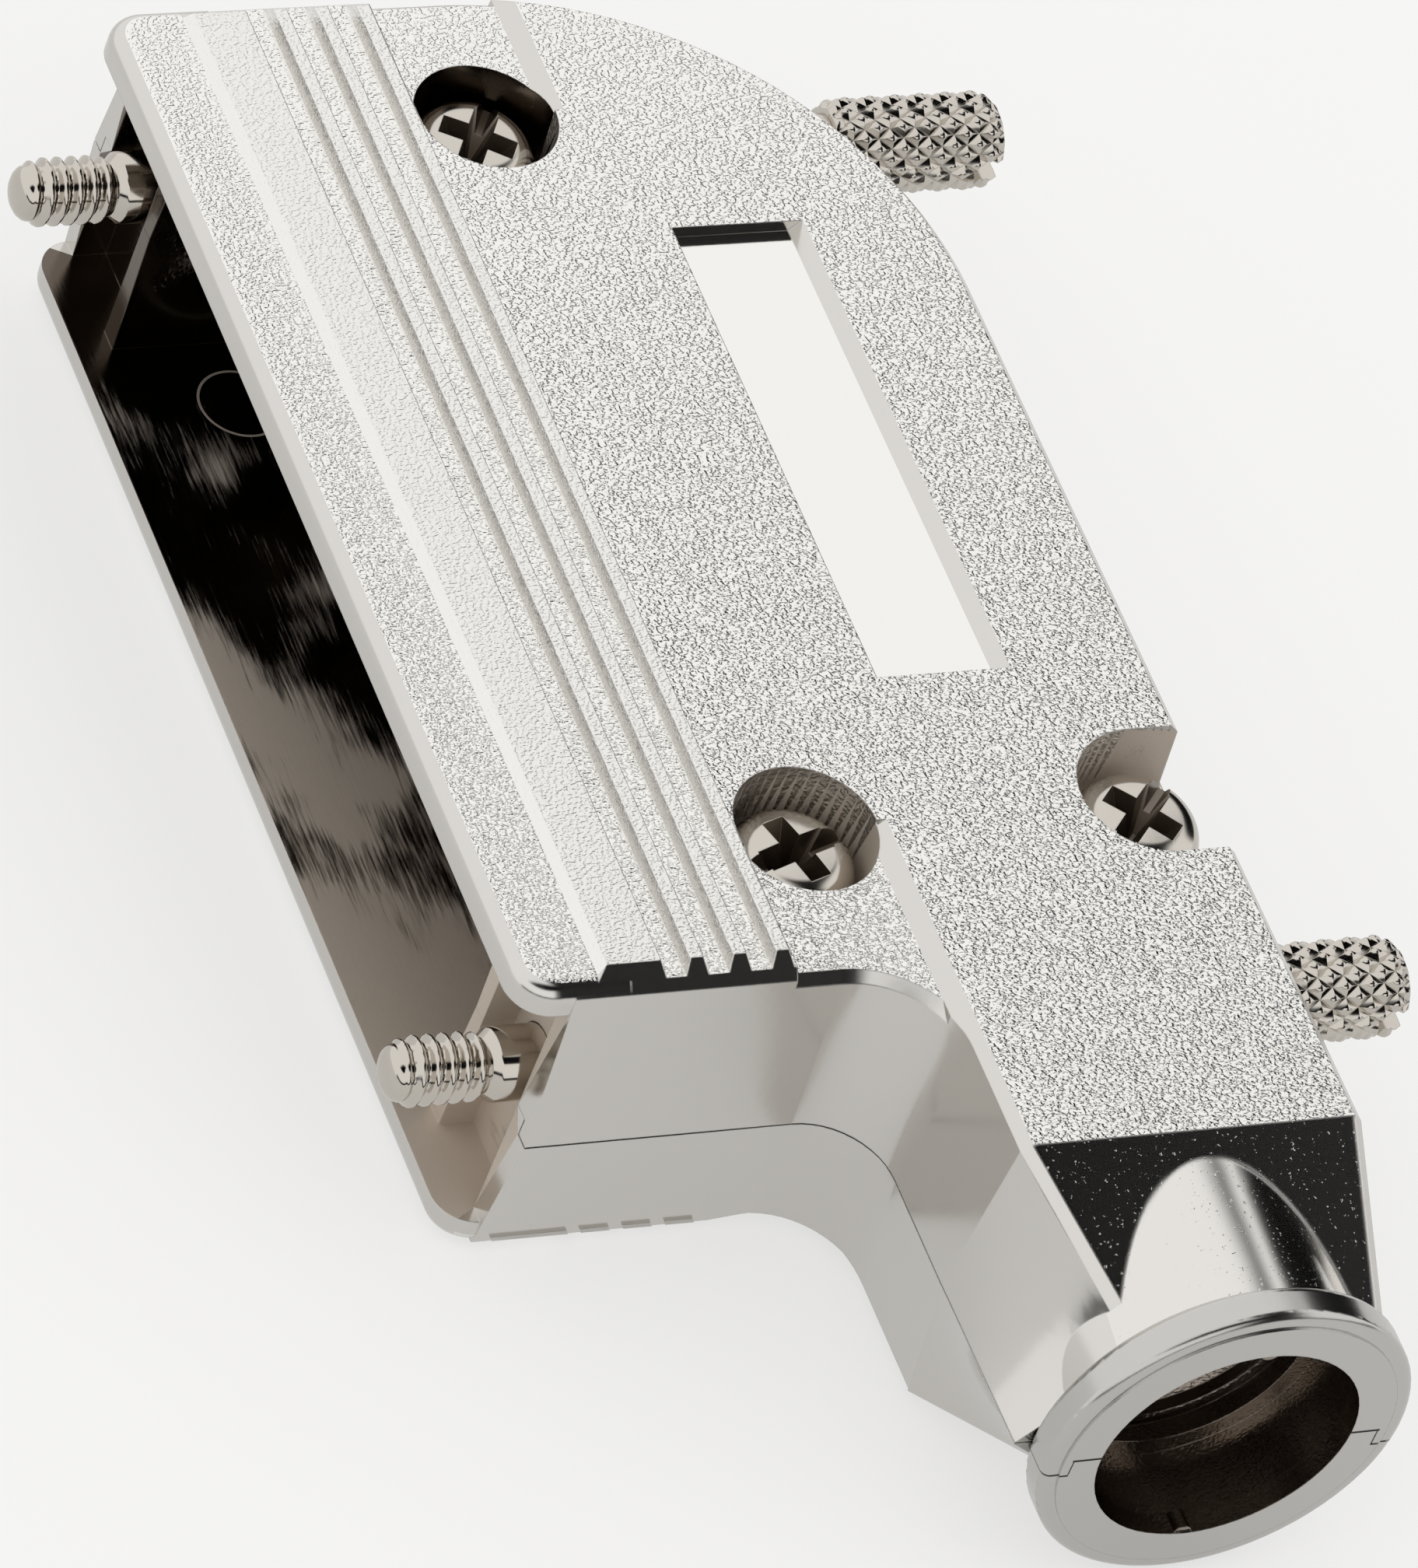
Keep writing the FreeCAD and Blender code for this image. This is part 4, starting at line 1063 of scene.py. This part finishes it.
@dataclass
class Studio:
    """A pale floor, an even soft light, and a surround that metal can mirror."""

    floor_z: float = -8.1 * MM
    floor_size: float = 3.0
    floor_tint: str = "#E8E7E4"
    seen_share: float = 0.6  # of the board's own white in the camera's view
    mirrored_share: float = 0.7  # the same in metal
    mirrored_level: float = 0.75
    dark_level: float = 0.004
    # Each shade: its direction, and how far along it the shade starts and is full
    shades: tuple[tuple[tuple[float, float, float], float, float], ...] = (
        ((1.0, 0.55, -0.15), -0.38, -0.23),  # everything past the bright side
        ((0.0, 1.0, 0.0), 0.05, 0.3),  # but only towards the back
        ((0.0, -1.0, 0.0), -0.66, -0.5),  # and not straight at the back
        ((-0.55, 0.82, 0.15), 0.86, 0.93),  # with a narrow screen for the collar's side
        ((1.0, 0.0, 0.0), 0.1, 0.3),  # and on the outlet's side
        ((0.0, 0.0, 1.0), 0.7, 0.76),  # one screen overhead
        ((0.0, 0.0, -1.0), -0.15, -0.09),  # and one low down, for the threads and knurls
    )
    lens: float = 313.17  # millimetres on a sensor of 36
    sensor: float = 36.0
    shift: tuple[float, float] = (-0.00602, 0.00481)
    clip: tuple[float, float] = (0.01, 20.0)
    viewpoint: tuple[float, float, float] = (0.321001, -0.219448, 0.380881)
    view_turn: tuple[float, float, float] = (43.2056, -16.6055, 69.5873)  # degrees

    def floor(self) -> None:
        """Lays the board under the hood. It shows a steady white under its soft shadows, to the
        camera and to metal, so the hood's lower edge never mirrors a black gap."""
        material = bpy.data.materials.new("matt painted board")
        material.use_nodes = True
        tree = material.node_tree
        tree.nodes.clear()
        paint = add_node(
            tree, "ShaderNodeBsdfDiffuse", {"Color": colour(self.floor_tint)}
        ).outputs[0]
        rays = add_node(tree, "ShaderNodeLightPath").outputs
        mirrored = add_node(
            tree,
            "ShaderNodeMath",
            {0: rays["Is Glossy Ray"], 1: rays["Is Transmission Ray"]},
            operation="MAXIMUM",
        ).outputs[0]
        seen = add_node(
            tree,
            "ShaderNodeMath",
            {0: rays["Is Camera Ray"], 1: self.seen_share},
            operation="MULTIPLY",
        ).outputs[0]
        share = add_node(
            tree,
            "ShaderNodeMath",
            {0: mirrored, 1: self.mirrored_share, 2: seen},
            operation="MULTIPLY_ADD",
        ).outputs[0]
        level = add_node(
            tree,
            "ShaderNodeMapRange",
            {"Value": mirrored, "To Min": 1.0, "To Max": self.mirrored_level},
        ).outputs[0]
        white = add_node(
            tree, "ShaderNodeEmission", {"Color": (1, 1, 1, 1), "Strength": level}
        ).outputs[0]
        board = add_node(tree, "ShaderNodeMixShader", {0: share, 1: paint, 2: white}).outputs[0]
        add_node(tree, "ShaderNodeOutputMaterial", {"Surface": board})
        half = self.floor_size / 2
        mesh = bpy.data.meshes.new("floor")
        corners = [(-half, -half), (half, -half), (half, half), (-half, half)]
        mesh.from_pydata([(x, y, self.floor_z) for x, y in corners], [], [(0, 1, 2, 3)])
        mesh.materials.append(material)
        sheet = bpy.data.objects.new("floor", mesh)
        bpy.context.scene.collection.objects.link(sheet)

    def surround(self) -> None:
        """Lights the scene evenly. Metal mirrors a white surround with dark screens in it, as
        between softboxes, so that its edges, slopes and grain read. The screens are narrow, so
        the broad faces stay bright from the other sides too."""
        world = bpy.data.worlds.new("studio surround")
        bpy.context.scene.world = world
        world.use_nodes = True
        world.cycles.sampling_method = "NONE"
        tree = world.node_tree
        tree.nodes.clear()
        way = add_node(tree, "ShaderNodeTexCoord").outputs["Generated"]
        rays = add_node(tree, "ShaderNodeLightPath").outputs
        made = {"glossy": rays["Is Glossy Ray"], "through": rays["Is Transmission Ray"]}
        screens = [
            ("beside", "MULTIPLY", "shade 1", "shade 2"),
            ("screen", "MULTIPLY", "beside", "shade 3"),
            ("ends", "MAXIMUM", "shade 6", "shade 7"),
            ("outlet", "MULTIPLY", "shade 5", "ends"),
            ("two", "MAXIMUM", "screen", "outlet"),
            ("both", "MAXIMUM", "two", "shade 4"),
            ("mirrored", "MAXIMUM", "glossy", "through"),
            ("dark", "MULTIPLY", "both", "mirrored"),
            ("taken", "MULTIPLY", "dark", 1.0 - self.dark_level),
            ("level", "SUBTRACT", 1.0, "taken"),
        ]
        for number, (side, low, high) in enumerate(self.shades, 1):
            towards = add_node(
                tree, "ShaderNodeVectorMath", {0: way, 1: side}, operation="DOT_PRODUCT"
            ).outputs["Value"]
            made[f"shade {number}"] = add_node(
                tree,
                "ShaderNodeMapRange",
                {"Value": towards, "From Min": low, "From Max": high},
                interpolation_type="SMOOTHSTEP",
            ).outputs[0]
        for name, operation, *operands in screens:
            inputs = {i: made.get(value, value) for i, value in enumerate(operands)}
            made[name] = add_node(tree, "ShaderNodeMath", inputs, operation=operation).outputs[0]
        glow = add_node(
            tree, "ShaderNodeBackground", {"Color": (1, 1, 1, 1), "Strength": made["level"]}
        ).outputs[0]
        add_node(tree, "ShaderNodeOutputWorld", {"Surface": glow})

    def camera(self) -> None:
        """Sets the photograph's view: a long lens from above the mouth's outlet end."""
        camera = bpy.data.cameras.new("photograph's view")
        camera.lens, camera.sensor_width = self.lens, self.sensor
        camera.shift_x, camera.shift_y = self.shift
        camera.clip_start, camera.clip_end = self.clip
        holder = bpy.data.objects.new("photograph's view", camera)
        holder.location = self.viewpoint
        holder.rotation_euler = Euler([math.radians(angle) for angle in self.view_turn])
        bpy.context.scene.collection.objects.link(holder)
        bpy.context.scene.camera = holder

    def build(self) -> None:
        """Sets the whole studio."""
        self.floor()
        self.surround()
        self.camera()
        bpy.context.scene.view_settings.view_transform = "Standard"
        log.info("set the studio")


def screw_place(x: float, y: float) -> Matrix:
    """Stands a piece that was turned about Y upright at a cover screw's place.

    Args:
        x: The screw's place along X.
        y: The same along Y.

    Returns:
        The matrix that takes the piece there.
    """
    return Matrix.Translation((x, y, 0.0)) @ Matrix.Rotation(math.pi / 2, 4, "X")


def main() -> None:
    """Builds the pieces in order."""
    logging.basicConfig(level=logging.INFO, format="%(name)s: %(message)s")
    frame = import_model()
    Studio().build()
    Shells().dress(frame)
    dress_whole(frame, SPRING, "far_ring", "near_ring")

    pattern = TurningPattern()
    turned = TURNED.build()
    tree, names = pattern.build(turned)
    for side, x in (("far", -JACK_X), ("near", JACK_X)):
        place = Matrix.Translation((x, 0.0, 0.0))
        screw = Jackscrew(f"{side}_jackscrew", f"{side}_jack", "jackscrews", place)
        screw.build(tree, names, turned)

    # the recesses' dark tint is painted shade
    recess = RECESS_IN_PAINTED_SHADE.build()
    tree, names = pattern.build(HEADED.build())
    for side, x, y, turn in SCREWS:
        place = screw_place(x, y)
        screw = CoverScrew(f"{side}_screw", "hood", "screws", place, math.radians(turn))
        screw.build(tree, names, recess)


if __name__ == "__main__":
    main()
